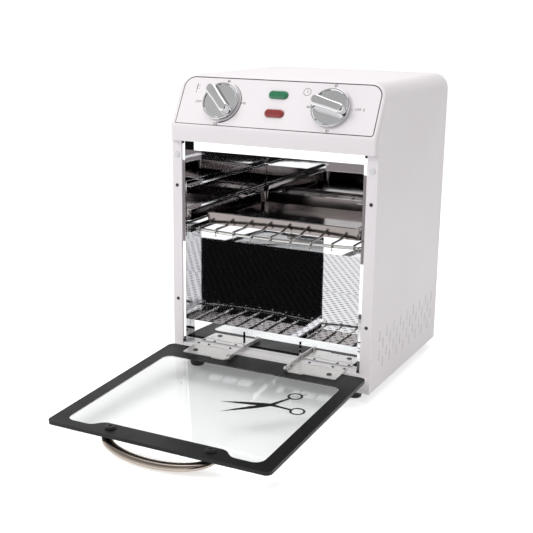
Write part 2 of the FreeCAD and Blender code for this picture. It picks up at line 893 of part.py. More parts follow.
def handle_screws():
    """Cap screws that hold the handle from inside the door."""
    solids = []
    bottom = glass_top - glass_thickness - handle_boss_height * 0.7
    for p in handle_places():
        wall = handle_cap_height - handle_cap_bevel
        cap = plain_round(V(p.x, p.y, glass_top), AXIS_Z, handle_cap_radius, wall, 24)
        crown = tapered_round(V(p.x, p.y, glass_top + wall), handle_cap_radius,
                              handle_cap_radius - handle_cap_bevel, handle_cap_bevel, 24)
        shank = plain_round(V(p.x, p.y, bottom), AXIS_Z, handle_screw_radius(), glass_top - bottom)
        solids.append(cap.fuse([crown, shank]).removeSplitter())
    return door_place(Part.makeCompound(solids))


# Hinges, each side drawn on the right and mirrored for the left

def knuckle_spans():
    """Stretches of X for the hinge's knuckles, from the middle of the door outwards."""
    pitch = hinge_leaf_width / hinge_knuckles
    spans = []
    for index in range(hinge_knuckles):
        x0 = hinge_leaf_inner + index * pitch
        spans.append((x0 + hinge_knuckle_gap / 2, x0 + pitch - hinge_knuckle_gap / 2))
    return spans


def knuckle(x0, x1, sign):
    """A rolled knuckle and the strip of leaf that runs into it; sign is the leaf's way along Y."""
    barrel = plain_round(V(x0, hinge_axis_y, axis_z), AXIS_X, hinge_barrel_radius, x1 - x0, hinge_sides)
    reach = hinge_barrel_radius + hinge_knuckle_gap + 1.0
    ya, yb = sorted((hinge_axis_y, hinge_axis_y + sign * reach))
    strip = box(x0, x1, ya, yb, leaf_top - hinge_leaf_sheet, leaf_top)
    return barrel.fuse(strip)


def hinge_leaf():
    """Door leaf: a plate over the glass with an upturned ear for the stay."""
    cut_back = hinge_barrel_radius + hinge_knuckle_gap
    y_far = hinge_axis_y - hinge_leaf_reach
    x0 = hinge_leaf_inner
    x1 = hinge_leaf_inner + hinge_leaf_width
    plate = box(x0, x1, y_far, hinge_axis_y - cut_back, leaf_top - hinge_leaf_sheet, leaf_top)
    corner = [e for e in plate.Edges if abs(e.tangentAt(e.FirstParameter).z) > 0.9
              and e.CenterOfMass.y < y_far + 1 and e.CenterOfMass.x > x1 - 1]
    plate = plate.makeFillet(2.0, corner)
    parts = [plate]
    for index, (a, b) in enumerate(knuckle_spans()):
        if index % 2:
            parts.append(knuckle(a, b, -1))
    pivot_y = hinge_axis_y - stay_pivot_reach + 3.4
    rib = box(x0, x0 + hinge_leaf_sheet, y_far, pivot_y + 3.4, leaf_top - hinge_leaf_sheet,
              axis_z + stay_pivot_rise + 3.0)
    pads = box(x0 + 3, x0 + 21, y_far - 2.2, y_far + 1, leaf_top - hinge_leaf_sheet, leaf_top)
    body = fused(parts + [rib, pads])
    bore = plain_round(V(x0 - 2, hinge_axis_y, axis_z), AXIS_X, hinge_pin_radius + hinge_pin_clearance,
                       hinge_leaf_width + 4, hinge_sides)
    pivot = V(x0 - 2, hinge_axis_y - stay_pivot_reach, axis_z + stay_pivot_rise)
    cuts = [bore, plain_round(pivot, AXIS_X, stay_pin_radius, 5)]
    screw = leaf_screw_places()[1]
    cuts.append(plain_round(V(screw.x, screw.y, leaf_top - 3), AXIS_Z, leaf_screw_radius, 6))
    return door_place(body.cut(cuts))


def hinge_base():
    """Fixed leaf, screwed to the ledge of the front rail."""
    cut_back = hinge_barrel_radius + hinge_knuckle_gap
    x0 = hinge_leaf_inner
    x1 = hinge_leaf_inner + hinge_leaf_width
    plate = box(x0, x1, hinge_axis_y + cut_back, hinge_axis_y + hinge_base_reach,
                leaf_top - hinge_leaf_sheet, leaf_top)
    parts = [plate]
    for index, (a, b) in enumerate(knuckle_spans()):
        if index % 2 == 0:
            parts.append(knuckle(a, b, 1))
    body = fused(parts)
    bore = plain_round(V(x0 - 2, hinge_axis_y, axis_z), AXIS_X, hinge_pin_radius, hinge_leaf_width + 4,
                       hinge_sides)
    return body.cut(bore)


def hinge_pin():
    x0 = hinge_leaf_inner - 0.4
    return plain_round(V(x0, hinge_axis_y, axis_z), AXIS_X, hinge_pin_radius, hinge_leaf_width + 0.8, hinge_sides)


def leaf_pad():
    """Gasket between the door leaf and the glass."""
    x0 = hinge_leaf_inner + 1
    x1 = hinge_leaf_inner + hinge_leaf_width - 1
    y0 = hinge_axis_y - hinge_leaf_reach + 1
    z = leaf_top - hinge_leaf_sheet - hinge_pad_thickness
    pad = box(x0, x1, y0, glass_rear - 1.2, z, z + hinge_pad_thickness)
    screw = leaf_screw_places()[1]
    return door_place(pad.cut(plain_round(V(screw.x, screw.y, z - 1), AXIS_Z, leaf_screw_radius + 0.6, 3)))


def leaf_screw(p):
    """Flat-headed screw from the leaf through the glass, without its nut."""
    z = glass_top - glass_thickness - 2.0
    head = plain_round(V(p.x, p.y, leaf_top), AXIS_Z, leaf_screw_radius + 1.4, 1.0, 16)
    rim = [e for e in head.Edges if abs(e.CenterOfMass.z - leaf_top - 1.0) < 0.01]
    shank = plain_round(V(p.x, p.y, z), AXIS_Z, leaf_screw_radius, leaf_top - z)
    return head.makeChamfer(0.4, rim).fuse(shank).removeSplitter()


def leaf_screws():
    return door_place(Part.makeCompound([leaf_screw(p) for p in leaf_screw_places()]))


def leaf_nuts():
    """Six-sided nuts under the glass."""
    solids = []
    z = glass_top - glass_thickness
    for p in leaf_screw_places():
        corners = [V(p.x + 4.2 * math.cos(k * math.pi / 3), p.y + 4.2 * math.sin(k * math.pi / 3), z - 2.6)
                   for k in range(6)]
        nut = prism(corners, V(0, 0, 2.6))
        solids.append(nut.cut(plain_round(V(p.x, p.y, z - 2.0), AXIS_Z, leaf_screw_radius, 4)))
    return door_place(Part.makeCompound(solids))


def stay_pivot():
    """The stay's pivot on the door leaf, with the door open at rest."""
    flat = V(0, hinge_axis_y - stay_pivot_reach, axis_z + stay_pivot_rise)
    point = Part.Vertex(flat)
    point.rotate(door_joint, AXIS_X, door_droop)
    return point.Point


def stay():
    """Strip from the ear on the door leaf through the apron's slot, with a head behind it."""
    pivot = stay_pivot()
    behind = chamber_recess + liner_sheet + 0.5
    length = (behind - pivot.y) + stay_head_thickness
    x0 = stay_centre - stay_sheet / 2
    h = stay_height / 2
    bar = box(x0, x0 + stay_sheet, pivot.y, pivot.y + length, pivot.z - h, pivot.z + h)
    nose = plain_round(V(x0, pivot.y, pivot.z), AXIS_X, h + 0.4, stay_sheet, 16)
    half = stay_head_width / 2
    head = box(stay_centre - half, stay_centre + half, pivot.y + length - stay_head_thickness,
               pivot.y + length, pivot.z - h, pivot.z - h + stay_head_height)
    body = fused([bar, nose, head])
    body = body.cut(plain_round(V(x0 - 1, pivot.y, pivot.z), AXIS_X, stay_pin_radius + 0.1, 4, 16))
    return turned(body, pivot, AXIS_X, stay_rest_angle)


def stay_pin():
    """Rivet with one head inside the stay, its other end flush with the ear."""
    pivot = stay_pivot()
    x0 = stay_centre - stay_sheet / 2
    x1 = hinge_leaf_inner + hinge_leaf_sheet
    shank = plain_round(V(x0 - 0.2, pivot.y, pivot.z), AXIS_X, stay_pin_radius, x1 - x0 + 0.2)
    head = plain_round(V(x0 - 1.0, pivot.y, pivot.z), AXIS_X, 2.2, 0.8)
    return fused([shank, head])


# Controls

def control_knob(x, pointer):
    """Round knob with a bevelled rim and a raised bar grip; pointer is the bar's angle."""
    r = knob_radius
    z0 = knob_gap
    z1 = z0 + knob_skirt
    crest_z = z0 + knob_grip_height
    wall = plain_round(V(0, 0, z0), AXIS_Z, r, knob_skirt - knob_edge_bevel, knob_sides)
    bevel = tapered_round(V(0, 0, z1 - knob_edge_bevel), r, r - 2 * knob_edge_bevel, knob_edge_bevel, knob_sides)
    rings = [(0, knob_grip_width + 4, z1 - knob_dish), (2, knob_grip_width, crest_z - 1.0),
             (4, knob_grip_width - 2, crest_z)]
    grip = flat_sided([stadium_points(knob_grip_length - short, width, z) for short, width, z in rings])
    bore = cylinder(V(0, 0, -1), AXIS_Z, knob_shaft_radius + knob_bore_clearance, 1 + knob_shaft_reach + rest_gap)
    body = wall.fuse([bevel, grip]).removeSplitter().cut(bore)
    return seated(turned(body, V(0, 0, 0), AXIS_Z, pointer), x, knob_rise)


def control_shaft(x, depth):
    """Spindle from inside the control, through its bush, up into the knob."""
    inner = -shell_sheet - depth * 0.5
    shaft = cylinder(V(0, 0, inner), AXIS_Z, knob_shaft_radius, knob_shaft_reach - inner)
    return seated(shaft, x, knob_rise)


def control_body(x, width, height, depth):
    """A control's case behind the fascia, with its bush through the sheet and two blade terminals."""
    back = -shell_sheet
    case = box(-width / 2, width / 2, -height / 2, height / 2, back - depth, back)
    corners = [e for e in case.Edges if abs(e.tangentAt(e.FirstParameter).z) > 0.9]
    case = case.makeChamfer(4.0, corners)
    blades = [box(s * 9 - 3, s * 9 + 3, -0.4, 0.4, back - depth - 8, back - depth) for s in (-1, 1)]
    bush = plain_round(V(0, 0, back), AXIS_Z, bush_radius, shell_sheet + 0.4)
    hole = cylinder(V(0, 0, back - depth * 0.5), AXIS_Z, knob_shaft_radius + bush_clearance, depth)
    return seated(fused([case, bush] + blades).cut(hole), x, knob_rise)


def lamp_lens(rise):
    """Moulded lens: a bevelled bar that passes through the fascia and stands proud of it."""
    bar = stadium(lamp_length, lamp_width, -lamp_stem, lamp_stem + lamp_proud)
    rim = [e for e in bar.Edges if abs(e.CenterOfMass.z - lamp_proud) < 0.01]
    return seated(bar.makeChamfer(lamp_bevel, rim), lamp_offset, rise)


def lamp_body(rise):
    """Lamp holder right behind the lens, with two blade terminals."""
    top = -lamp_stem
    length = lamp_length - 2
    width = lamp_width - 1
    body = box(-length / 2, length / 2, -width / 2, width / 2, top - lamp_body_depth, top)
    tabs = [box(s * 5 - 1.5, s * 5 + 1.5, -0.4, 0.4, top - lamp_body_depth - 6, top - lamp_body_depth)
            for s in (-1, 1)]
    return seated(fused([body] + tabs), lamp_offset, rise)


# Small parts on the stiles

def door_bumpers():
    """Clear domes on the stiles that the closed door rests against."""
    solids = []
    for side in (-1, 1):
        at = V(side * stile_centre(), 0, fascia_z - bumper_below_fascia)
        dome = tapered_round(V(0, 0, 0), bumper_radius, bumper_radius * 0.6, bumper_height, 16)
        dome.Placement = FreeCAD.Placement(at, FreeCAD.Rotation(AXIS_Z, -AXIS_Y))
        solids.append(dome)
    return Part.makeCompound(solids)


def build():
    """Every piece by name, in the cabinet's layout frame."""
    pieces = {
        "outer_shell": outer_shell(),
        "base_pan": base_pan(),
        "feet": feet(),
        "rear_panel": rear_panel(),
        "cord_gland": cord_gland(),
        "chamber_liner": chamber_liner(),
        "chamber_floor": chamber_floor(),
        "shelf_runner_left": shelf_runner(-1),
        "shelf_runner_right": shelf_runner(1),
        "wire_rack": wire_rack(),
        "instrument_tray": instrument_tray(),
        "heating_elements": heating_elements(),
        "element_bushings": element_bushings(),
        "heat_shield": heat_shield(),
        "insulation_wrap": insulation_wrap(),
        "insulation_back": insulation_back(),
        "sensing_bulb": sensing_bulb(),
        "terminal_block": terminal_block(),
        "door_bumpers": door_bumpers(),
        "hinge_base_right": hinge_base(),
        "hinge_base_left": mirrored(hinge_base()),
        "hinge_pin_right": hinge_pin(),
        "hinge_pin_left": mirrored(hinge_pin()),
        "door_glass": door_glass(),
        "door_handle": door_handle(),
        "handle_screws": handle_screws(),
        "hinge_leaf_right": hinge_leaf(),
        "hinge_leaf_left": mirrored(hinge_leaf()),
        "leaf_pad_right": leaf_pad(),
        "leaf_pad_left": mirrored(leaf_pad()),
        "leaf_screws": leaf_screws(),
        "leaf_nuts": leaf_nuts(),
        "stay_pin_right": stay_pin(),
        "stay_pin_left": mirrored(stay_pin()),
        "stay_right": stay(),
        "stay_left": mirrored(stay()),
        "thermostat_body": control_body(-knob_spacing / 2, thermostat_width, thermostat_width * 0.85, thermostat_depth),
        "timer_body": control_body(knob_spacing / 2, timer_width, timer_width, timer_depth),
        "thermostat_shaft": control_shaft(-knob_spacing / 2, thermostat_depth),
        "timer_shaft": control_shaft(knob_spacing / 2, timer_depth),
        "temperature_knob": control_knob(-knob_spacing / 2, temperature_pointer),
        "timer_knob": control_knob(knob_spacing / 2, timer_pointer),
        "run_lamp_lens": lamp_lens(lamp_rise_high),
        "run_lamp_body": lamp_body(lamp_rise_high),
        "power_lamp_lens": lamp_lens(lamp_rise_low),
        "power_lamp_body": lamp_body(lamp_rise_low),
    }
    return pieces


# Where each knob's bar points, counted anticlockwise from the fascia's right
temperature_pointer = 135.0
timer_pointer = 165.0


def main():
    os.makedirs("parts", exist_ok=True)
    for name, shape in build().items():
        shape.translate(V(0, -cabinet_depth / 2, 0))
        shape.exportStep("parts/" + name + ".step")


main()
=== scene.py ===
"""Instrument sterilizer: the finished look of a countertop dry-heat cabinet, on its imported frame.

Sizes are in millimetres in the cabinet's own layout: x across from the middle, y back from the plane
of the front stiles, z up from the worktop. A piece is drawn in that layout, or flat on a Seat, and is
then settled into the row frame, in metres.
"""

import logging
import math
from collections.abc import Callable, Iterator
from contextlib import contextmanager
from dataclasses import dataclass, field
from enum import Enum

import bmesh
import bpy
from mathutils import Matrix, Vector


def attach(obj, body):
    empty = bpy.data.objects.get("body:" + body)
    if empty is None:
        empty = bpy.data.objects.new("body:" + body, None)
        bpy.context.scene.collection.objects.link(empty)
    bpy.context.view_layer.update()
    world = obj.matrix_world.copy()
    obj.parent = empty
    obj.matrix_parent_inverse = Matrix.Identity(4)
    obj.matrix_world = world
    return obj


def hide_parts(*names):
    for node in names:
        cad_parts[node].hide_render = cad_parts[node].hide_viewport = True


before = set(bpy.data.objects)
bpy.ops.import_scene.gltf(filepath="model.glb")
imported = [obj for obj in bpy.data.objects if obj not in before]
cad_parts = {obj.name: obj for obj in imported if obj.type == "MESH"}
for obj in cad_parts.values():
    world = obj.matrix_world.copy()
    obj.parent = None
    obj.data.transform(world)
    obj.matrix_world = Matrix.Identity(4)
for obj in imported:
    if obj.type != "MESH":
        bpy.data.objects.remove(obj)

LOG = logging.getLogger("sterilizer")
MM = 0.001
CABINET_DEPTH = 251.0
DOOR_DROOP = math.radians(2.75)
FASCIA_SLANT = math.radians(28.2)
LAYOUT = Matrix.Translation((0.0, -CABINET_DEPTH / 2 * MM, 0.0))
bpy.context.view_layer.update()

Point = tuple[float, float, float]
Piece = bpy.types.Object


def in_metres(point: Point) -> Vector:
    """Turns a point in millimetres into a vector in metres."""
    return Vector(point) * MM


@dataclass(frozen=True)
class Seat:
    """A flat place that prints and fittings sit on.

    origin is in the layout; across and up are the seat's own x and y, and its z points out of it.
    """

    origin: Point
    across: Point
    up: Point

    def matrix(self, x: float = 0.0, y: float = 0.0, turn: float = 0.0) -> Matrix:
        """Places a piece drawn round its own origin.

        Args:
            x: Millimetres along the seat's across.
            y: Millimetres along the seat's up.
            turn: Degrees anticlockwise, seen from outside.

        Returns:
            The matrix from the piece's own metres to the row frame.
        """
        side = Vector(self.across).normalized()
        rise = Vector(self.up).normalized()
        axes = Matrix((side, rise, side.cross(rise))).transposed().to_4x4()
        foot = in_metres(self.origin) + (side * x + rise * y) * MM
        return LAYOUT @ Matrix.Translation(foot) @ axes @ Matrix.Rotation(math.radians(turn), 4, "Z")


FASCIA = Seat((0, -5.5, 315.8), (1, 0, 0), (0, math.sin(FASCIA_SLANT), math.cos(FASCIA_SLANT)))
STILES = Seat((0, 0, 12), (1, 0, 0), (0, 0, 1))
BACK = Seat((0, 252, 12), (-1, 0, 0), (0, 0, 1))
LEDGE = Seat((0, 0, 37.1), (1, 0, 0), (0, 1, 0))
DOOR = Seat((0, -8.616, 35.383), (1, 0, 0), (0, math.cos(DOOR_DROOP), math.sin(DOOR_DROOP)))
LEAF = Seat((0, -2.09, 37.1), (1, 0, 0), (0, math.cos(DOOR_DROOP), math.sin(DOOR_DROOP)))


class Bench:
    """Blender's modelling operators, each used on one piece at a time, with sizes in millimetres."""

    @staticmethod
    def hold(*pieces: Piece) -> None:
        """Selects these pieces and nothing else; the first is the active one."""
        bpy.ops.object.select_all(action="DESELECT")
        for piece in pieces:
            piece.select_set(True)
        bpy.context.view_layer.objects.active = pieces[0]

    @staticmethod
    def settle(piece: Piece, matrix: Matrix = LAYOUT) -> Piece:
        """Moves a piece by a matrix and leaves its place in its mesh."""
        Bench.hold(piece)
        piece.matrix_world = matrix @ piece.matrix_world
        bpy.ops.object.transform_apply(location=True, rotation=True, scale=True)
        return piece

    @staticmethod
    def named(name: str, size: Point = (1, 1, 1)) -> Piece:
        """Names and sizes the primitive that was just added, and leaves its place in its mesh."""
        piece = bpy.context.object
        piece.name = piece.data.name = name
        piece.scale = size
        return Bench.settle(piece, Matrix.Identity(4))

    @staticmethod
    def box(name: str, low: Point, high: Point) -> Piece:
        """Adds a box between two corners."""
        centre = (in_metres(low) + in_metres(high)) / 2
        bpy.ops.object.select_all(action="DESELECT")
        bpy.ops.mesh.primitive_cube_add(size=1, location=centre)
        return Bench.named(name, in_metres(high) - in_metres(low))

    @staticmethod
    def round(name: str, foot: Point, radius: float, length: float, sides: int = 32,
              top: float | None = None) -> Piece:
        """Adds an upright round bar or cone.

        Args:
            name: The piece's name.
            foot: The middle of its lower end.
            radius: Its radius there.
            length: Its length.
            sides: How many sides the round has.
            top: The radius at its other end, if that differs.

        Returns:
            The new piece.
        """
        bpy.ops.object.select_all(action="DESELECT")
        bpy.ops.mesh.primitive_cone_add(
            vertices=sides, radius1=radius * MM, radius2=(radius if top is None else top) * MM,
            depth=length * MM, location=in_metres(foot) + Vector((0, 0, length / 2)) * MM)
        return Bench.named(name)

    @staticmethod
    def stadium(name: str, length: float, width: float, low: float, high: float, sides: int = 32) -> Piece:
        """Adds an upright bar with round ends, lying along x."""
        piece = Bench.round(name, (0, 0, low), width / 2, high - low, sides)
        with Bench.editing(piece, "VERT"):
            for way in (1, -1):
                Bench.pick(piece, "verts", lambda v: way * v.co.x > 1e-6)
                bpy.ops.transform.translate(value=(way * (length - width) / 2 * MM, 0, 0))
        return piece

    @staticmethod
    @contextmanager
    def editing(piece: Piece, mode: str = "FACE") -> Iterator[None]:
        """Opens a piece in edit mode with nothing selected."""
        Bench.hold(piece)
        bpy.ops.object.mode_set(mode="EDIT")
        bpy.ops.mesh.select_mode(type=mode)
        bpy.ops.mesh.select_all(action="DESELECT")
        yield
        bpy.ops.object.mode_set(mode="OBJECT")

    @staticmethod
    def pick(piece: Piece, kind: str, test: Callable[..., bool]) -> None:
        """Selects the verts, edges or faces that pass a test, and nothing else.

        Args:
            piece: The piece that is open in edit mode.
            kind: "verts", "edges" or "faces".
            test: Says whether one of them is wanted.
        """
        mesh = bmesh.from_edit_mesh(piece.data)
        mesh.normal_update()
        wanted = [part for part in getattr(mesh, kind) if test(part)]
        for group in (mesh.verts, mesh.edges, mesh.faces):
            for part in group:
                part.select = False
        for part in wanted:
            part.select_set(True)
        bmesh.update_edit_mesh(piece.data)

    @staticmethod
    def middle(part: bmesh.types.BMEdge | bmesh.types.BMFace) -> Vector:
        """The middle of an edge's or a face's corners, in millimetres."""
        return sum((v.co for v in part.verts), Vector()) / len(part.verts) / MM

    @staticmethod
    def bevel(piece: Piece, width: float, segments: int, test: Callable[..., bool]) -> Piece:
        """Rounds the edges whose middle, in millimetres, passes a test."""
        with Bench.editing(piece, "EDGE"):
            Bench.pick(piece, "edges", lambda e: test(Bench.middle(e), e))
            bpy.ops.mesh.bevel(offset=width * MM, segments=segments, affect="EDGES", clamp_overlap=True)
        return piece

    @staticmethod
    def soften(piece: Piece, width: float, segments: int = 2, angle: float = 40.0) -> Piece:
        """Rounds every edge that is sharper than an angle in degrees."""
        return Bench.modify(piece, "BEVEL", width=width * MM, segments=segments, limit_method="ANGLE",
                            angle_limit=math.radians(angle), use_clamp_overlap=True)

    @staticmethod
    def modify(piece: Piece, kind: str, **settings: object) -> Piece:
        """Adds a modifier with its settings and applies it."""
        Bench.hold(piece)
        made = piece.modifiers.new(kind.lower(), kind)
        for key, value in settings.items():
            setattr(made, key, value)
        bpy.ops.object.modifier_apply(modifier=made.name)
        return piece

    @staticmethod
    def cut(piece: Piece, *cutters: Piece) -> Piece:
        """Takes the cutters out of a piece and clears them away."""
        tool = Bench.join("cutter", *cutters)
        Bench.modify(piece, "BOOLEAN", object=tool, operation="DIFFERENCE", solver="EXACT")
        bpy.data.objects.remove(tool)
        return piece

    @staticmethod
    def join(name: str, *pieces: Piece) -> Piece:
        """Makes one piece of several."""
        Bench.hold(*pieces)
        if len(pieces) > 1:
            bpy.ops.object.join()
        pieces[0].name = pieces[0].data.name = name
        return pieces[0]

    @staticmethod
    def copy(piece: Piece, matrix: Matrix) -> Piece:
        """Copies a piece, with its own mesh, to where a matrix takes it."""
        Bench.hold(piece)
        bpy.ops.object.duplicate()
        return Bench.settle(bpy.context.object, matrix)

    @staticmethod
    def smooth(piece: Piece, angle: float = 35.0) -> Piece:
        """Shades a piece smooth over its rounds and flat over its flats."""
        Bench.hold(piece)
        bpy.ops.object.shade_smooth_by_angle(angle=math.radians(angle))
        return Bench.modify(piece, "WEIGHTED_NORMAL", keep_sharp=True)

    @staticmethod
    def tube(name: str, points: list[Point], radius: float, flat: float = 1.0, closed: bool = False,
             fine: int = 3, swell: list[float] | None = None) -> Piece:
        """Draws a round bar, or a flat printed line, along points.

        Args:
            name: The piece's name.
            points: The line in millimetres.
            radius: Half the bar's thickness.
            flat: How much of its height is kept, for a printed line.
            closed: Whether the line runs back to its start.
            fine: Half the round's sides less two.
            swell: A share of the radius at each point.

        Returns:
            The new piece, with a mesh.
        """
        bpy.ops.object.select_all(action="DESELECT")
        bpy.ops.curve.primitive_nurbs_path_add(location=(0, 0, 0))
        curve = bpy.context.object.data
        curve.splines.clear()
        line = curve.splines.new("POLY")
        line.points.add(len(points) - 1)
        for index, point in enumerate(points):
            line.points[index].co = (*in_metres(point), 1.0)
            line.points[index].radius = swell[index] if swell else 1.0
        line.use_cyclic_u = closed
        curve.twist_mode = "Z_UP"
        curve.bevel_depth = radius * MM
        curve.bevel_resolution = fine
        curve.use_fill_caps = not closed
        bpy.ops.object.convert(target="MESH")
        piece = Bench.named(name, (1, 1, flat))
        with Bench.editing(piece):
            bpy.ops.mesh.select_all(action="SELECT")
            bpy.ops.mesh.remove_doubles(threshold=0.001 * MM)
            bpy.ops.mesh.normals_make_consistent(inside=False)
        return piece

    @staticmethod
    def from_cad(node: str, name: str) -> Piece:
        """Copies a CAD node's mesh into a new piece and merges its loose triangles."""
        piece = bpy.data.objects.new(name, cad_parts[node].data.copy())
        bpy.context.scene.collection.objects.link(piece)
        with Bench.editing(piece):
            bpy.ops.mesh.select_all(action="SELECT")
            bpy.ops.mesh.remove_doubles(threshold=0.001 * MM)
            bpy.ops.mesh.dissolve_limited(angle_limit=math.radians(0.5))
        if piece.data.attributes.get("custom_normal"):
            piece.data.attributes.remove(piece.data.attributes["custom_normal"])
        return piece


def arc(centre: Point, radius: float, start: float, end: float, steps: int) -> list[Point]:
    """Points of a flat arc, its angles in degrees."""
    angles = [math.radians(start + (end - start) * k / steps) for k in range(steps + 1)]
    return [(centre[0] + radius * math.cos(a), centre[1] + radius * math.sin(a), centre[2]) for a in angles]


def linear(colour: str) -> tuple[float, float, float, float]:
    """Turns an sRGB hex colour into linear light, with full alpha."""
    parts = [int(colour[k:k + 2], 16) / 255 for k in (1, 3, 5)]
    return (*[p / 12.92 if p <= 0.04045 else ((p + 0.055) / 1.055) ** 2.4 for p in parts], 1.0)


def add_node(tree: bpy.types.NodeTree, kind: str, inputs: dict[str | int, object] | None = None,
             **settings: object) -> bpy.types.Node:
    """Adds one node with its settings, values and links.

    Args:
        tree: The material's node tree.
        kind: The node's type, without its common prefix.
        inputs: Each socket's name or number, with its value or the output that feeds it.
        **settings: The node's own settings.

    Returns:
        The new node.
    """
    made = tree.nodes.new("ShaderNode" + kind)
    for key, value in settings.items():
        setattr(made, key, value)
    for key, value in (inputs or {}).items():
        if isinstance(value, bpy.types.NodeSocket):
            tree.links.new(value, made.inputs[key])
        else:
            made.inputs[key].default_value = value
    return made


@dataclass(frozen=True)
class Finish:
    """A surface whose colour and gloss drift slowly, over a fine relief.

    colour and drift are the two ends of the colour, drift_mm the size of its patches, gloss the
    lowest and highest roughness, grain_mm the size of the relief along x, y and z, relief_um its height.
    """

    name: str
    colour: str
    drift: str
    drift_mm: float
    gloss: tuple[float, float]
    grain_mm: Point
    relief_um: float
    metallic: float = 0.0
    ior: float = 1.5
    coat: float = 0.0
    transmission: float = 0.0

    def material(self) -> bpy.types.Material:
        """Returns the finish's material, made on first use."""
        if self.name in bpy.data.materials:
            return bpy.data.materials[self.name]
        made = bpy.data.materials.new(self.name)
        made.use_nodes = True
        tree = made.node_tree
        shader = tree.nodes["Principled BSDF"]
        shader.inputs["Metallic"].default_value = self.metallic
        if not self.metallic:
            shader.inputs["IOR"].default_value = self.ior
        shader.inputs["Coat Weight"].default_value = self.coat
        shader.inputs["Coat Roughness"].default_value = 0.05
        shader.inputs["Transmission Weight"].default_value = self.transmission
        place = add_node(tree, "TexCoord").outputs["Object"]
        patches = self.patches(tree, place)
        tint = add_node(tree, "Mix", {0: patches, 6: linear(self.colour), 7: linear(self.drift)},
                        data_type="RGBA")
        tree.links.new(tint.outputs[2], shader.inputs["Base Color"])
        shine = add_node(tree, "MapRange", {"Value": patches, "From Min": 0.3, "From Max": 0.7,
                                            "To Min": self.gloss[0], "To Max": self.gloss[1]})
        tree.links.new(shine.outputs["Result"], shader.inputs["Roughness"])
        grid = add_node(tree, "Mapping", {"Vector": place, "Scale": [1 / (g * MM) for g in self.grain_mm]})
        grain = add_node(tree, "TexNoise", {"Vector": grid.outputs[0], "Scale": 1.0, "Detail": 2.0})
        relief = add_node(tree, "Bump", {"Height": grain.outputs[0], "Strength": 1.0,
                                         "Distance": self.relief_um * 1e-6})
        tree.links.new(relief.outputs[0], shader.inputs["Normal"])
        self.extend(tree, shader)
        return made

    def patches(self, tree: bpy.types.NodeTree, place: bpy.types.NodeSocket) -> bpy.types.NodeSocket:
        """Returns the pattern, from 0 to 1, that the colour and gloss drift by."""
        size = 1 / (self.drift_mm * MM)
        return add_node(tree, "TexNoise", {"Vector": place, "Scale": size, "Detail": 3.0}).outputs[0]

    def extend(self, tree: bpy.types.NodeTree, shader: bpy.types.Node) -> None:
        """Adds what only some finishes have."""


@dataclass(frozen=True)
class Spangled(Finish):
    """Hot-dip zinc: crystals of different greys that meet at crisp edges."""

    def patches(self, tree: bpy.types.NodeTree, place: bpy.types.NodeSocket) -> bpy.types.NodeSocket:
        """Returns one grey for each crystal."""
        size = 1 / (self.drift_mm * MM)
        cells = add_node(tree, "TexVoronoi", {"Vector": place, "Scale": size})
        return add_node(tree, "SeparateColor", {0: cells.outputs["Color"]}).outputs[0]


@dataclass(frozen=True)
class ClearGlass(Finish):
    """Float glass that lets the lamps through to what lies behind it."""

    def extend(self, tree: bpy.types.NodeTree, shader: bpy.types.Node) -> None:
        """Puts in a clear shader for rays from the lamps."""
        path = add_node(tree, "LightPath")
        clear = add_node(tree, "BsdfTransparent", {"Color": (0.93, 0.94, 0.94, 1.0)})
        mixed = add_node(tree, "MixShader", {0: path.outputs["Is Shadow Ray"], 1: shader.outputs[0],
                                             2: clear.outputs[0]})
        tree.links.new(mixed.outputs[0], tree.nodes["Material Output"].inputs["Surface"])


FINE = (0.6, 0.6, 0.6)

# Powder-coated sheet steel: an even soft white with a faint orange peel.
POWDER_COAT = Finish("powder_coated_steel", "#F3EEF1", "#EEE8EB", 120, (0.34, 0.42), (1.8, 1.8, 1.8), 9)
# The same coat on the front rail, handled more and a touch greyer.
RAIL_COAT = Finish("powder_coated_rail", "#ECEAEB", "#E4E1E3", 60, (0.30, 0.40), (1.8, 1.8, 1.8), 9)
# Mirror-polished stainless sheet: sharp reflections that wander a little where the sheet waves.
MIRROR_SHEET = Finish("mirror_stainless_sheet", "#F4F4F5", "#ECECEE", 70, (0.01, 0.03), (70, 70, 70), 60,
                      metallic=1.0)
# Plated and buffed cast zinc: the brightest metal on the cabinet, with a few dull wipe marks.
CHROME = Finish("bright_chrome_plate", "#E9E9EA", "#DEDEE0", 14, (0.03, 0.08), (9, 9, 9), 8, metallic=1.0)
# The handle's plating: the same bow of bright metal, its colour darkened to a warm grey as painted reflection
# of the brownish worktop and of the handle's own shadow on it.
HANDLE_PLATE_PAINTED_REFLECTION = Finish("nickel_plate_painted_reflection", "#B5AAA0", "#A2978C", 30, (0.05, 0.11), (9, 9, 9), 8, metallic=1.0)
# Nickel-plated steel wire, slightly duller than the chrome.
WIRE = Finish("nickel_plated_wire", "#DFDEDC", "#CFCDC9", 8, (0.10, 0.2), (2, 2, 2), 6, metallic=1.0)
# Bright zinc-plated hinge steel, rolled, with fine lines across it.
HINGE_STEEL = Finish("plated_hinge_steel", "#F6F5F3", "#ECEAE7", 12, (0.3, 0.42), (8, 0.5, 0.5), 4,
                     metallic=0.55)
# Bright stainless of the pan: a faint grain along its length that softens what it reflects; its base colour
# is darkened to a brownish grey as painted reflection of the dark chamber round it.
PAN_STEEL_PAINTED_REFLECTION = Finish("stainless_pan_painted_reflection", "#928B89", "#857E7C", 40, (0.07, 0.13), (14, 0.4, 0.4), 2,
                     metallic=1.0)
# Galvanised sheet of the rear panel: small spangles.
ZINC_SHEET = Spangled("galvanised_sheet", "#B7BABC", "#ADB1B4", 6, (0.34, 0.52), FINE, 4, metallic=1.0)
# Toughened float glass.
GLASS = ClearGlass("toughened_glass", "#FBFCFC", "#F8FAF9", 90, (0.0, 0.02), (120, 120, 120), 6, ior=1.52,
                   transmission=1.0)
# Ceramic ink fired onto the glass: deep black with a low gloss.
FIRED_INK = Finish("fired_black_ink", "#0D0D0E", "#131314", 40, (0.36, 0.5), (1.2, 1.2, 1.2), 3, ior=1.36)
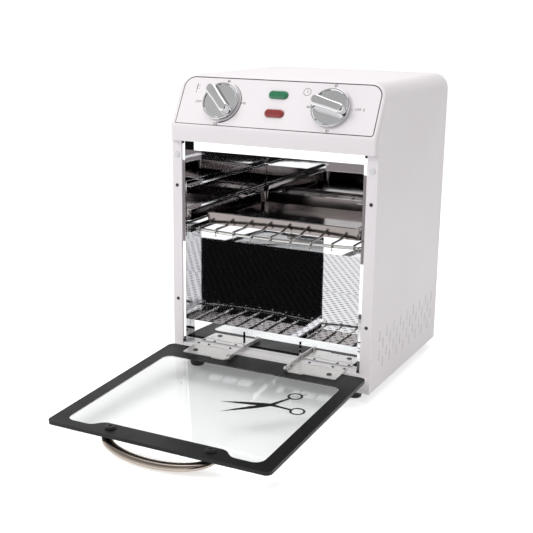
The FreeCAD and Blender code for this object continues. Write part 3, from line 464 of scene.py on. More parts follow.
# Screen ink of the fascia's lines and numbers.
SCREEN_INK = Finish("screen_printed_ink", "#2B2A2E", "#39383C", 5, (0.45, 0.6), FINE, 1)
# Moulded nylon of the two caps.
CAP_NYLON = Finish("moulded_black_nylon", "#151516", "#1E1E20", 6, (0.38, 0.5), FINE, 10)
# Nitrile rubber feet: matt, dusty black.
RUBBER = Finish("nitrile_rubber", "#17171A", "#242427", 9, (0.62, 0.8), (0.8, 0.8, 0.8), 22)
# Clear silicone of the two door bumpers: milky, with a bright rim.
SILICONE = Finish("clear_silicone", "#F6F6F8", "#E9EAEE", 4, (0.08, 0.14), FINE, 4, ior=1.42,
                  transmission=0.15)
# Tinted acrylic of the pilot lenses, glossy outside.
RED_ACRYLIC = Finish("red_acrylic", "#9C2B26", "#7F1D1B", 7, (0.10, 0.2), (1.2, 9, 1.2), 60, ior=1.49,
                     coat=1.0)
GREEN_ACRYLIC = Finish("green_acrylic", "#138055", "#0C6644", 7, (0.10, 0.2), (1.2, 9, 1.2), 60, ior=1.49,
                       coat=1.0)
# Blackened steel screws.
DARK_SCREW = Finish("blackened_screw", "#5B5A5E", "#3F3E42", 2, (0.3, 0.45), FINE, 6, metallic=1.0)
# Glass-filled nylon of the lamp holders.
HOLDER = Finish("moulded_lamp_holder", "#DCD8CE", "#CFCABF", 12, (0.45, 0.6), FINE, 12)
# Phenolic cases of the two controls.
CONTROL_CASE = Finish("moulded_phenolic", "#2A2522", "#352F2B", 10, (0.4, 0.55), FINE, 12)
# Mineral wool round the chamber: matted and fibrous, a dark yellow-grey behind the vents.
WOOL = Finish("mineral_wool", "#6B6554", "#524D40", 5, (0.9, 1.0), (6, 0.5, 0.5), 500)
# Steatite ceramic of the bushings and terminals.
STEATITE = Finish("steatite_ceramic", "#E6E0D2", "#D8D1C0", 8, (0.5, 0.7), FINE, 14)
# Heater sheath: stainless tube tinted brown by heat.
SHEATH = Finish("heated_sheath", "#6E5C4E", "#4D4541", 22, (0.3, 0.45), (1, 1, 1), 8, metallic=1.0)
# Heat shield sheet: its colour darkened as painted shade under the floor, so that the floor's slots look
# black.
SHIELD_SHEET = Finish("shield_sheet_painted_shade", "#3A3533", "#2A2624", 30, (0.4, 0.55), FINE, 5, metallic=1.0)
# Copper bulb and capillary.
COPPER = Finish("drawn_copper", "#B4714C", "#8E5638", 10, (0.22, 0.36), (0.5, 8, 0.5), 5, metallic=1.0)
# Compressed fibre gasket under the hinge leaves.
FIBRE = Finish("fibre_gasket", "#4A4642", "#5A554F", 3, (0.8, 0.95), (0.5, 0.5, 0.5), 40)


class Slot(Enum):
    """The record's material slots that the pieces match."""

    ENAMEL = "enamel"
    MIRROR = "mirror_sheet"
    STEEL = "bright_steel"
    TRAY = "tray_steel"
    CHROME = "chrome"
    GLASS = "clear_glass"
    CAP = "black_cap"
    RUBBER = "black_rubber"
    BUMPER = "clear_bumper"
    RED = "red_lens"
    GREEN = "green_lens"
    RAIL = "rail_enamel"


def present(piece: Piece, body: str, slot: Slot, finish: Finish, *replaced: str) -> Piece:
    """Gives a finished piece its material, its body and the CAD nodes that it stands for.

    Args:
        piece: The finished piece, in place.
        body: The CAD body that it moves with.
        slot: The material slot in the record that it matches; not used.
        finish: What its surface is.
        *replaced: The CAD nodes that it stands for.

    Returns:
        The piece.
    """
    piece.data.materials.clear()
    piece.data.materials.append(finish.material())
    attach(piece, body)
    if replaced:
        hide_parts(*replaced)
    LOG.info("%s: %d faces on %s", piece.name, len(piece.data.polygons), body)
    return piece


@dataclass
class Hood:
    """The pressed white shell: sides, top, stiles and slanted fascia in one sheet."""

    half_width: float = 135.0
    base: float = 12.0
    top: float = 375.0
    stile: float = 13.1
    proud: float = 5.5
    fascia_z: float = 296.8
    fold_z: float = 315.8
    top_round: float = 20.0
    edge_round: float = 4.5
    sheet: float = 1.2
    vents: int = 17
    vent_pitch: float = 12.4
    vent_first: float = 29.5

    def body(self) -> Piece:
        """Draws the closed outside form from a box."""
        w = self.half_width
        piece = Bench.box("outer_hood", (-w, 0, self.base), (w, CABINET_DEPTH, self.top))
        slope = (0, -math.cos(FASCIA_SLANT), math.sin(FASCIA_SLANT))
        with Bench.editing(piece):
            bpy.ops.mesh.select_all(action="SELECT")
            bpy.ops.mesh.bisect(plane_co=in_metres((0, 0, self.fascia_z)), plane_no=(0, 0, 1))
            Bench.pick(piece, "faces", lambda f: f.normal.y < -0.9 and Bench.middle(f).z > self.fascia_z)
            bpy.ops.mesh.extrude_region_move(TRANSFORM_OT_translate={"value": (0, -self.proud * MM, 0)})
            bpy.ops.mesh.select_all(action="SELECT")
            bpy.ops.mesh.bisect(plane_co=in_metres((0, -self.proud, self.fold_z)), plane_no=slope,
                                clear_outer=True, use_fill=True)
            bpy.ops.mesh.select_all(action="SELECT")
            bpy.ops.mesh.dissolve_limited(angle_limit=math.radians(1))
            bpy.ops.mesh.normals_make_consistent(inside=False)
        brow = (self.top - self.fold_z) * math.tan(FASCIA_SLANT) - self.proud
        Bench.bevel(piece, self.top_round, 10,
                    lambda m, e: abs(m.z - self.top) < 0.1 and abs(abs(m.x) - w) < 0.1 and m.y > 30)
        Bench.bevel(piece, self.edge_round, 5, lambda m, e: self.round_fascia(m, e, brow))
        Bench.bevel(piece, 2.0, 3, lambda m, e: abs(m.z - self.fold_z) < 0.6 and abs(m.y + self.proud) < 0.2
                    and abs(m.x) < 10)
        return piece

    def round_fascia(self, m: Vector, edge: bmesh.types.BMEdge, brow: float) -> bool:
        """True for the edges up both sides of the fascia, over its corners and along its top."""
        ends = [v.co / MM for v in edge.verts]
        level = abs(ends[0].y - ends[1].y) < 0.01 and abs(ends[0].z - ends[1].z) < 0.01
        if any(e.z < self.fascia_z - 0.1 or e.y > brow + 0.3 for e in ends):
            return False
        at_side = abs(abs(m.x) - self.half_width) < 0.1
        on_slope = all(abs(self.slope_gap(e)) < 0.15 for e in ends)
        at_front = abs(m.y + self.proud) < 0.1 and at_side
        on_top = level and abs(m.z - self.top) < 0.1 and abs(m.y - brow) < 0.3
        corner = on_slope and m.z > self.top - self.top_round - 0.2
        return at_front or on_top or (on_slope and at_side and not level) or (corner and not at_side)

    def slope_gap(self, point: Vector) -> float:
        """How far a point lies from the slanted plane, in millimetres."""
        rise, run = point.z - self.fold_z, point.y + self.proud
        return rise * math.sin(FASCIA_SLANT) - run * math.cos(FASCIA_SLANT)

    def vent_cutters(self) -> list[Piece]:
        """Long bars with round ends that cut both sides' slots at once."""
        first = Bench.box("vent", (-140, -0.75, -7), (140, 0.75, 7))
        Bench.bevel(first, 0.7, 2, lambda m, e: abs(abs(m.z) - 7) < 0.1 and abs(m.x) < 1)
        bars = []
        for column in range(self.vents):
            y = self.vent_first + column * self.vent_pitch
            for height in ((52.9, 28.9) if column % 2 else (64.5, 40.5)):
                bars.append(Bench.copy(first, Matrix.Translation(in_metres((0, y, self.base + height)))))
        bpy.data.objects.remove(first)
        return bars

    def panel_cutters(self) -> list[Piece]:
        """Bars for the two shafts' and the two lamps' holes."""
        down = LAYOUT.inverted()
        bars = []
        for side in (-1, 1):
            bar = Bench.round("shaft", (0, 0, -12), 4.65, 24)
            bars.append(Bench.settle(bar, down @ FASCIA.matrix(side * 71.4, 33)))
        for rise in (22.5, 45.9):
            bar = Bench.stadium("lens", 25.3, 10.5, -12, 12)
            bars.append(Bench.settle(bar, down @ FASCIA.matrix(1.8, rise)))
        return bars

    def build(self) -> None:
        """Hollows the form, cuts its openings and adds the lip under the fascia."""
        piece = self.body()
        Bench.modify(piece, "SOLIDIFY", thickness=self.sheet * MM, offset=-1.0, use_even_offset=True)
        inside = self.half_width - self.stile
        wall = self.half_width - self.sheet
        flange = self.half_width - 11
        back = CABINET_DEPTH
        Bench.cut(piece, Bench.box("opening", (-inside, -1, self.base - 1), (inside, 2.2, self.fascia_z)))
        Bench.cut(piece, Bench.box("bottom", (-wall, self.sheet, self.base - 1.5),
                                   (wall, back - self.sheet, self.base + 2)))
        Bench.cut(piece, Bench.box("rear", (-flange, back - 5, self.base - 0.8),
                                   (flange, back + 5, self.top - 11)))
        Bench.cut(piece, *self.vent_cutters())
        Bench.cut(piece, *self.panel_cutters())
        lip = Bench.box("lip", (-inside, 0, self.fascia_z), (inside, 8, self.fascia_z + self.sheet))
        piece = Bench.join("outer_hood", piece, lip)
        Bench.smooth(Bench.settle(piece), 32)
        present(piece, "cabinet", Slot.ENAMEL, POWDER_COAT, "outer_shell")


@dataclass
class FasciaPrint:
    """Lines, numbers and two small icons printed on the slanted fascia."""

    lift: float = 0.02
    text_height: float = 3.2
    words: list[tuple[str, float, float]] = field(default_factory=lambda: [
        ("OFF", -103.5, 32.0), ("80", -68.0, 60.0), ("140", -42.0, 33.0), ("200", -72.5, 4.6),
        ("OFF", 104.5, 33.4), ("0", 111.6, 33.4), ("20", 72.8, 5.2), ("40", 42.6, 33.2), ("60", 71.4, 61.6)])

    def text(self, words: str, x: float, y: float) -> Piece:
        """Prints a number or a short word round a point."""
        bpy.ops.object.select_all(action="DESELECT")
        bpy.ops.object.text_add(location=(0, 0, 0))
        made = bpy.context.object
        made.data.body = words
        made.data.size = self.text_height * 1.4 * MM
        made.data.align_x = made.data.align_y = "CENTER"
        made.data.extrude = 0.02 * MM
        made.data.resolution_u = 3
        bpy.ops.object.convert(target="MESH")
        return Bench.settle(Bench.named("number"), Matrix.Translation(in_metres((x, y, self.lift))))

    def line(self, points: list[Point], width: float, closed: bool = False,
             swell: list[float] | None = None) -> Piece:
        """Prints a line of a given width."""
        return Bench.tube("line", points, width / 2, flat=0.08 / width, closed=closed, fine=1, swell=swell)

    def frame_line(self) -> Piece:
        """The dark line round the panel, its upper corners well rounded."""
        z = self.lift
        left, right, low, high = -128.0, 129.0, 2.8, 64.2
        points = [(left, low, z), (right - 3, low, z)]
        points += arc((right - 3, low + 3, z), 3, -90, 0, 4)
        points += arc((right - 14, high - 14, z), 14, 0, 90, 12)
        points += arc((left + 14, high - 14, z), 14, 90, 180, 12)
        return self.line(points, 1.15, closed=True)

    def temperature_wedge(self) -> Piece:
        """The band close round the temperature knob, which thickens clockwise."""
        points = arc((-71.4, 33, self.lift), 26.2, 62, -86, 36)
        swell = [0.25 + 0.75 * k / 36 for k in range(37)]
        return self.line(points, 1.8, swell=swell)

    def icons(self) -> list[Piece]:
        """A small thermometer and a clock face."""
        z = self.lift
        clock = self.line(arc((37.5, 51.8, z), 4.6, 0, 345, 24), 0.55, closed=True)
        hands = self.line([(37.5, 55, z), (37.5, 51.8, z), (39.4, 50.6, z)], 0.5)
        stem = self.line([(-109.6, 47.5, z), (-109.6, 55.5, z)], 1.0)
        bulb = self.line([(-109.8, 45.2, z), (-109.4, 45.2, z)], 3.4)
        marks = [self.line([(-107.6, y, z), (-106.2, y, z)], 0.45) for y in (49, 51.5, 54)]
        return [clock, hands, stem, bulb, *marks]

    def ticks(self) -> list[Piece]:
        """Short marks at the ends and quarters of each dial."""
        made = []
        for x, angles in ((-71.4, (180, 84, 0, -90)), (71.4, (0, -90, 180, 90))):
            for angle in angles:
                a = math.radians(angle)
                ends = [(x + r * math.cos(a), 33 + r * math.sin(a), self.lift) for r in (25.4, 27.6)]
                made.append(self.line(ends, 0.6))
        return made

    def build(self) -> None:
        """Prints everything as one thin piece."""
        parts = [self.frame_line(), self.temperature_wedge(), *self.icons(), *self.ticks()]
        parts += [self.text(*word) for word in self.words]
        piece = Bench.settle(Bench.join("fascia_print", *parts), FASCIA.matrix())
        present(piece, "cabinet", Slot.CAP, SCREEN_INK)


@dataclass
class Knob:
    """A chromed dial with a raised rim and a bar across it, which points from the bar's broad end."""

    name: str
    x: float
    pointer: float
    radius: float = 23.8
    low: float = 0.6
    skirt: float = 4.6
    length: float = 45.0
    width: float = 13.5
    height: float = 16.0

    def disc(self) -> Piece:
        """The round base, dished inside a rounded rim."""
        top = self.low + self.skirt
        piece = Bench.round("disc", (0, 0, self.low), self.radius, self.skirt, 96)
        with Bench.editing(piece):
            Bench.pick(piece, "faces", lambda f: f.normal.z > 0.9)
            bpy.ops.mesh.inset(thickness=2.2 * MM)
            bpy.ops.mesh.inset(thickness=0.8 * MM)
            bpy.ops.transform.translate(value=(0, 0, -0.8 * MM))
        return Bench.bevel(piece, 0.9, 4, lambda m, e: abs(m.z - top) < 0.01 and self.ringed(m, self.radius))

    def ringed(self, m: Vector, radius: float) -> bool:
        """True for an edge that runs round at a radius."""
        return abs(math.hypot(m.x, m.y) - radius) < 0.1

    def bar(self) -> Piece:
        """The grip: waisted, broader at the pointer end, with soft upper edges."""
        top = self.low + self.height
        piece = Bench.stadium("bar", self.length, self.width, self.low + 2, top, 40)
        with Bench.editing(piece, "VERT"):
            Bench.pick(piece, "verts", lambda v: v.co.z > (top - 1) * MM)
            bpy.ops.transform.resize(value=(0.96, 0.84, 1), center_override=(0, 0, top * MM))
            Bench.pick(piece, "verts", lambda v: v.co.x > 10 * MM)
            bpy.ops.transform.resize(value=(1, 1.16, 1), center_override=(0, 0, 0))
        return Bench.bevel(piece, 2.4, 5, lambda m, e: abs(m.z - top) < 0.05)

    def build(self) -> None:
        """Builds the knob over its shaft."""
        seat = FASCIA.matrix(self.x, 33, self.pointer)
        piece = Bench.settle(Bench.join(self.name + "_plated", self.disc(), self.bar()), seat)
        present(Bench.smooth(piece, 40), self.name, Slot.CHROME, CHROME, self.name)


@dataclass
class PilotLens:
    """A moulded lens: a round-ended bar with a deep bevel and a low crown."""

    name: str
    rise: float
    slot: Slot
    finish: Finish

    def build(self) -> None:
        """Builds the lens through the fascia."""
        piece = Bench.stadium(self.name + "_moulded", 25, 10.2, -4, 1.2, 48)
        with Bench.editing(piece):
            for inset, lift in ((0.7, 0.8), (1.0, 0.45), (1.1, 0.15)):
                Bench.pick(piece, "faces", lambda f: f.normal.z > 0.95 and len(f.verts) > 8)
                bpy.ops.mesh.inset(thickness=inset * MM)
                bpy.ops.transform.translate(value=(0, 0, lift * MM))
        piece = Bench.settle(Bench.smooth(piece, 50), FASCIA.matrix(1.8, self.rise))
        present(piece, "cabinet", self.slot, self.finish, self.name)


@dataclass
class Chamber:
    """The slotted mirror floor with its apron."""

    pitch_x: float = 11.0
    pitch_y: float = 8.0
    columns: int = 21
    pairs: int = 13
    half_width: float = 117.5
    front: float = 12.0
    rear: float = 221.2
    top: float = 64.3
    rail: float = 36.1
    sheet: float = 0.8
    stay: float = 38.9
    slot_top: float = 59.4

    def cell(self) -> Piece:
        """One slot in its own piece of sheet: an open face with a round-ended hole."""
        bpy.ops.object.select_all(action="DESELECT")
        bpy.ops.mesh.primitive_grid_add(x_subdivisions=4, y_subdivisions=2, size=1)
        rim = Bench.named("cell", in_metres((self.pitch_x, self.pitch_y, 1)))
        with Bench.editing(rim, "VERT"):
            inner = (self.pitch_x / 2 - 0.1) * MM
            Bench.pick(rim, "verts", lambda v: abs(v.co.y) < 1e-5 and abs(v.co.x) < inner)
            bpy.ops.mesh.delete(type="VERT")
        bpy.ops.object.select_all(action="DESELECT")
        bpy.ops.mesh.primitive_circle_add(vertices=12, radius=1.2 * MM, fill_type="NOTHING")
        hole = Bench.named("hole")
        with Bench.editing(hole, "VERT"):
            for way in (1, -1):
                Bench.pick(hole, "verts", lambda v: way * v.co.x > 1e-6)
                bpy.ops.transform.translate(value=(way * 1.8 * MM, 0, 0))
        piece = Bench.join("cell", rim, hole)
        with Bench.editing(piece, "EDGE"):
            bpy.ops.mesh.select_all(action="SELECT")
            bpy.ops.mesh.bridge_edge_loops()
        return piece

    def rows(self, first: Piece, x: float, y: float, columns: int, rows: int) -> Piece:
        """Repeats the slot into every second row."""
        piece = Bench.copy(first, Matrix.Translation(in_metres((x, y, 0))))
        for count, way in ((columns, (self.pitch_x, 0, 0)), (rows, (0, 2 * self.pitch_y, 0))):
            Bench.modify(piece, "ARRAY", count=count, use_relative_offset=False, use_constant_offset=True,
                         constant_offset_displace=in_metres(way), use_merge_vertices=True,
                         merge_threshold=0.01 * MM)
        return piece

    def spread(self, piece: Piece, axis: int, at: float, to: float) -> None:
        """Extrudes the open edges that lie at a place along an axis out to another."""
        Bench.pick(piece, "edges", lambda e: e.is_boundary
                   and all(abs(v.co[axis] / MM - at) < 0.05 for v in e.verts))
        move = [0.0, 0.0, 0.0]
        move[axis] = (to - at) * MM
        bpy.ops.mesh.extrude_region_move(TRANSFORM_OT_translate={"value": move})

    def slit_apron(self, piece: Piece) -> None:
        """Cuts the stay arms' two slots into the apron, from its lower edge up."""
        def on_apron(part: bmesh.types.BMFace) -> bool:
            return all(abs(v.co.y / MM - self.front) < 0.05 for v in part.verts)

        planes = [(side * self.stay + x, (1, 0, 0)) for side in (-1, 1) for x in (-1.5, 1.5)]
        for at, way in [*planes, (self.slot_top - self.top, (0, 0, 1))]:
            Bench.pick(piece, "faces", on_apron)
            bpy.ops.mesh.bisect(plane_co=Vector(way) * at * MM, plane_no=way)
        Bench.pick(piece, "faces", lambda f: on_apron(f) and abs(abs(Bench.middle(f).x) - self.stay) < 1.5
                   and Bench.middle(f).z < self.slot_top - self.top)
        bpy.ops.mesh.delete(type="FACE")

    def build(self) -> None:
        """Builds the plate, folds its apron down and gives both a thickness."""
        cell = self.cell()
        y0 = self.front + 0.6 + self.pitch_y / 2
        x0 = -(self.columns - 1) / 2 * self.pitch_x
        full = self.rows(cell, x0, y0, self.columns, self.pairs)
        moved = self.rows(cell, x0 + self.pitch_x / 2, y0 + self.pitch_y, self.columns - 1, self.pairs)
        bpy.data.objects.remove(cell)
        edge = self.columns / 2 * self.pitch_x
        with Bench.editing(moved, "EDGE"):
            self.spread(moved, 0, -edge + self.pitch_x / 2, -edge)
            self.spread(moved, 0, edge - self.pitch_x / 2, edge)
        piece = Bench.join("slotted_floor", full, moved)
        low, high = self.front + 0.6, self.front + 0.6 + 2 * self.pairs * self.pitch_y
        with Bench.editing(piece, "EDGE"):
            bpy.ops.mesh.select_all(action="SELECT")
            bpy.ops.mesh.remove_doubles(threshold=0.02 * MM)
            for axis, at, to in ((0, -edge, -self.half_width), (0, edge, self.half_width),
                                 (1, high, self.rear), (1, low, self.front)):
                self.spread(piece, axis, at, to)
            Bench.pick(piece, "edges", lambda e: e.is_boundary
                       and all(abs(v.co.y / MM - self.front) < 0.05 for v in e.verts))
            bpy.ops.mesh.extrude_region_move(
                TRANSFORM_OT_translate={"value": (0, 0, (self.rail - self.top) * MM)})
            self.slit_apron(piece)
            bpy.ops.mesh.select_all(action="SELECT")
            bpy.ops.mesh.normals_make_consistent(inside=False)
            mesh = bmesh.from_edit_mesh(piece.data)
            if sum(f.normal.z for f in mesh.faces) < 0:
                bpy.ops.mesh.flip_normals()
        Bench.settle(piece, Matrix.Translation(in_metres((0, 0, self.top))))
        Bench.modify(piece, "SOLIDIFY", thickness=self.sheet * MM, offset=-1.0, use_even_offset=True)
        Bench.settle(piece)
        present(piece, "cabinet", Slot.MIRROR, MIRROR_SHEET, "chamber_floor")


@dataclass
class Rack:
    """The wire shelf: a bowed frame of thicker rod with cross wires hooked down in front."""

    half: float = 113.5
    rod: float = 2.0
    wire: float = 1.4
    level: float = 184.1
    front: float = 16.0
    bow: float = 10.0
    corner: float = 7.0
    rear: float = 215.5
    wires: int = 9
    pitch: float = 26.1
    drop: float = 5.0

    def bow_radius(self) -> float:
        """Radius of the front rod's bow."""
        half = self.half - self.corner
        return (half * half + self.bow * self.bow) / (2 * self.bow)

    def front_y(self, x: float) -> float:
        """The front rod's place along its bow."""
        radius = self.bow_radius()
        return self.front - self.bow + radius - math.sqrt(radius * radius - x * x)

    def frame_points(self) -> list[Point]:
        """The rod's line: up one side, round the bow and back down the other side."""
        big, r, z = self.bow_radius(), self.corner, self.level
        middle = self.front - self.bow + big
        swing = math.degrees(math.asin((self.half - r) / (big - r)))
        cx = self.half - r
        cy = middle - (big - r) * math.cos(math.radians(swing))
        points = [(-self.half, self.rear, z)]
        points += arc((-cx, cy, z), r, 180, 270 - swing, 8)
        points += arc((0, middle, z), big, 270 - swing, 270 + swing, 28)[1:-1]
        points += arc((cx, cy, z), r, 270 + swing, 360, 8)
        return points + [(self.half, self.rear, z)]

    def cross_wire(self, x: float) -> Piece:
        """One wire, with a small bend where it hooks over the front rod."""
        top = self.level + self.rod + self.wire
        front = self.front_y(x) - self.rod - self.wire
        bend = 2.2
        points = [(x, self.rear + 1, top), (x, front + bend, top)]
        for step in range(1, 6):
            a = math.radians(90 * step / 6)
            points.append((x, front + bend - bend * math.sin(a), top - bend + bend * math.cos(a)))
        points += [(x, front, top - bend), (x, front, self.level - self.drop)]
        return Bench.tube("wire", points, self.wire, fine=3)

    def build(self) -> None:
        """Builds the frame, the rear rod and the wires as one welded piece."""
        parts = [Bench.tube("frame", self.frame_points(), self.rod, fine=4)]
        inner = self.half - self.rod
        rear = [(x, self.rear - 8, self.level) for x in (-inner, inner)]
        parts.append(Bench.tube("rear", rear, self.rod, fine=4))
        for index in range(self.wires):
            parts.append(self.cross_wire((index - (self.wires - 1) / 2) * self.pitch))
        piece = Bench.settle(Bench.join("wire_shelf", *parts))
        present(Bench.smooth(piece, 60), "cabinet", Slot.STEEL, WIRE, "wire_rack")


@dataclass
class Door:
    """The glass door's print, pull and caps; the pane itself is the CAD's."""

    half_width: float = 134.45
    length: float = 253.75
    corner: float = 7.0
    window: float = 118.5
    window_rear: float = 36.0
    window_front: float = 241.0
    shelf_front: float = 229.6
    shelf_half: float = 74.0
    post_x: float = 60.7
    post_y: float = 238.9
    strap_end: float = 65.0
    strap_half: tuple[float, float] = (6.8, 4.3)
    bow: float = 22.2
    drop: float = 9.0
    thickness: float = 4.0

    def upright(self, m: Vector, edge: bmesh.types.BMEdge) -> bool:
        """True for an edge that stands up."""
        return abs(edge.verts[0].co.z - edge.verts[1].co.z) > 0.05 * MM

    def border(self) -> None:
        """The black border: it wraps the pane's edge, and its window steps in between the caps."""
        z0, z1 = -self.thickness - 0.05, 0.1
        slab = Bench.box("door_border", (-self.half_width, -self.length, z0), (self.half_width, 0.05, z1))
        Bench.bevel(slab, self.corner, 8, self.upright)
        window = Bench.box("window", (-self.window, -self.window_front, -9),
                           (self.window, -self.window_rear, 1))
        with Bench.editing(window, "EDGE"):
            bpy.ops.mesh.select_all(action="SELECT")
            for x in (-self.shelf_half - 11, -self.shelf_half, self.shelf_half, self.shelf_half + 11):
                bpy.ops.mesh.bisect(plane_co=in_metres((x, 0, 0)), plane_no=(1, 0, 0))
                bpy.ops.mesh.select_all(action="SELECT")
            Bench.pick(window, "verts", lambda v: v.co.y < -200 * MM
                       and abs(v.co.x) < (self.shelf_half + 1) * MM)
            bpy.ops.transform.translate(value=(0, (self.window_front - self.shelf_front) * MM, 0))
        Bench.bevel(window, 11, 8, lambda m, e: self.upright(m, e) and abs(m.x) > self.window - 1)
        Bench.bevel(window, 5, 5, lambda m, e: self.upright(m, e) and m.y < -200
                    and abs(abs(m.x) - self.shelf_half - 5.5) < 6.5)
        Bench.settle(Bench.cut(slab, window), DOOR.matrix())
        present(slab, "door", Slot.CAP, FIRED_INK)

    def scissors(self) -> None:
        """A plain pair of open scissors, printed in the window."""
        z = 0.03
        pivot, upper, lower = (66.0, -113.9), (10.6, -129.5), (23.4, -152.3)
        ring_a, ring_b = (80.8, -82.0), (99.6, -116.7)
        radius = 7.6
        parts = []
        for tip, ring in ((upper, ring_b), (lower, ring_a)):
            points = [(*tip, z)]
            for t in (0.3, 0.6, 0.85):
                points.append((tip[0] + (pivot[0] - tip[0]) * t, tip[1] + (pivot[1] - tip[1]) * t, z))
            points.append((*pivot, z))
            way = Vector(ring) - Vector(pivot)
            end = Vector(ring) - way.normalized() * radius
            middle = (Vector(pivot) + end) / 2
            points += [(middle.x, middle.y, z), (end.x, end.y, z)]
            parts.append(Bench.tube("blade", points, 3.4, flat=0.012, fine=2,
                                    swell=[0.05, 0.62, 1.0, 1.1, 0.95, 0.62, 0.55]))
            parts.append(Bench.tube("ring", arc((*ring, z), radius, 0, 350, 35), 1.35, flat=0.03,
                                    closed=True, fine=2))
        tang = [(ring_a[0] + 5.2, ring_a[1] + 6.0, z), (91.0, -71.5, z)]
        parts.append(Bench.tube("tang", tang, 0.9, flat=0.045, fine=2, swell=[1.0, 0.4]))
        piece = Bench.settle(Bench.join("scissors_print", *parts), DOOR.matrix())
        present(piece, "door", Slot.CAP, FIRED_INK)

    def caps(self) -> None:
        """Two low round caps with a flange and a small recess."""
        first = Bench.round("cap", (0, 0, 0.12), 6.2, 1.3, 48)
        with Bench.editing(first):
            Bench.pick(first, "faces", lambda f: f.normal.z > 0.9)
            bpy.ops.mesh.inset(thickness=1.2 * MM)
            bpy.ops.mesh.extrude_region_move(TRANSFORM_OT_translate={"value": (0, 0, 1.35 * MM)})
            bpy.ops.mesh.inset(thickness=2.9 * MM)
            bpy.ops.mesh.extrude_region_move(TRANSFORM_OT_translate={"value": (0, 0, -0.9 * MM)})
        Bench.soften(first, 0.3, 3)
        shank = Bench.round("shank", (0, 0, -6.8), 2.2, 7.0, 16)
        first = Bench.join("cap", first, shank)
        pair = [Bench.copy(first, DOOR.matrix(s * self.post_x, -self.post_y)) for s in (-1, 1)]
        bpy.data.objects.remove(first)
        piece = Bench.smooth(Bench.join("handle_caps", *pair), 40)
        present(piece, "door", Slot.CAP, CAP_NYLON, "handle_screws")

    def handle(self) -> None:
        """The bow pull: a thick strap that swings out and down past the door's edge, on two bosses."""
        reach = math.radians(86.4)
        low = -self.thickness - 3.4
        points, swell = [], []
        steps = 36
        for k in range(steps + 1):
            t = -1 + 2 * k / steps
            a = t * reach
            out = (math.cos(a) - math.cos(reach)) / (1 - math.cos(reach))
            points.append((self.strap_end * math.sin(a) / math.sin(reach), -self.post_y - self.bow * out,
                           low - self.drop * out))
            swell.append(0.78 + 0.22 * max(math.cos(t * math.pi / 2), 0.0) ** 0.8)
        bpy.ops.object.select_all(action="DESELECT")
        bpy.ops.curve.primitive_bezier_circle_add(radius=1, location=(0, 0, 0))
        section = bpy.context.object
        section.data.resolution_u = 8
        section.scale = in_metres((*self.strap_half, 1))
        bpy.ops.object.transform_apply(location=True, rotation=True, scale=True)
        bpy.ops.object.select_all(action="DESELECT")
        bpy.ops.curve.primitive_nurbs_path_add(location=(0, 0, 0))
        strap = bpy.context.object
        strap.data.splines.clear()
        line = strap.data.splines.new("POLY")
        line.points.add(steps)
        for index, point in enumerate(points):
            line.points[index].co = (*in_metres(point), 1.0)
            line.points[index].radius = swell[index]
        strap.data.twist_mode = "Z_UP"
        strap.data.bevel_mode = "OBJECT"
        strap.data.bevel_object = section
        strap.data.use_fill_caps = True
        bpy.ops.object.convert(target="MESH")
        strap = Bench.named("strap")
        bpy.data.objects.remove(section)
        with Bench.editing(strap):
            bpy.ops.mesh.select_all(action="SELECT")
            bpy.ops.mesh.remove_doubles(threshold=0.001 * MM)
            bpy.ops.mesh.normals_make_consistent(inside=False)
        bosses = []
        for side in (-1, 1):
            foot = (side * self.post_x, -self.post_y, -self.thickness - 4.2)
            boss = Bench.round("boss", foot, 4.6, 4.2, 32, top=5.6)
            bosses.append(Bench.bevel(boss, 0.6, 3, lambda m, e: m.z < -self.thickness - 4.1))
        piece = Bench.settle(Bench.join("bow_handle", strap, *bosses), DOOR.matrix())
        present(Bench.smooth(piece, 50), "door", Slot.CHROME, HANDLE_PLATE_PAINTED_REFLECTION, "door_handle")

    def build(self) -> None:
        """Dresses the whole door."""
        self.border()
        self.scissors()
        self.caps()
        self.handle()


@dataclass
class Fastener:
    """A small screw with a domed head and a crossed recess, modelled once and set wherever it is used."""

    radius: float
    height: float

    def head(self) -> Piece:
        """Models one head, standing on its seat."""
        piece = Bench.round("screw", (0, 0, -0.3), self.radius, self.height + 0.3, 24)
        Bench.bevel(piece, self.height * 0.6, 3, lambda m, e: m.z > self.height - 0.05)
        arm, wide = self.radius * 0.62, self.radius * 0.13
        deep = self.height * 0.45
        bars = [Bench.box("arm", (-arm, -wide, deep), (arm, wide, self.height + 1)),
                Bench.box("arm", (-wide, -arm, deep), (wide, arm, self.height + 1))]
        Bench.cut(piece, bars[0])
        Bench.cut(piece, bars[1])
        return piece

    def scatter(self, name: str, body: str, slot: Slot, finish: Finish, places: list[Matrix]) -> None:
        """Sets a screw at each place, as one piece."""
        first = self.head()
        copies = [Bench.copy(first, place) for place in places]
        bpy.data.objects.remove(first)
        present(Bench.smooth(Bench.join(name, *copies), 35), body, slot, finish)


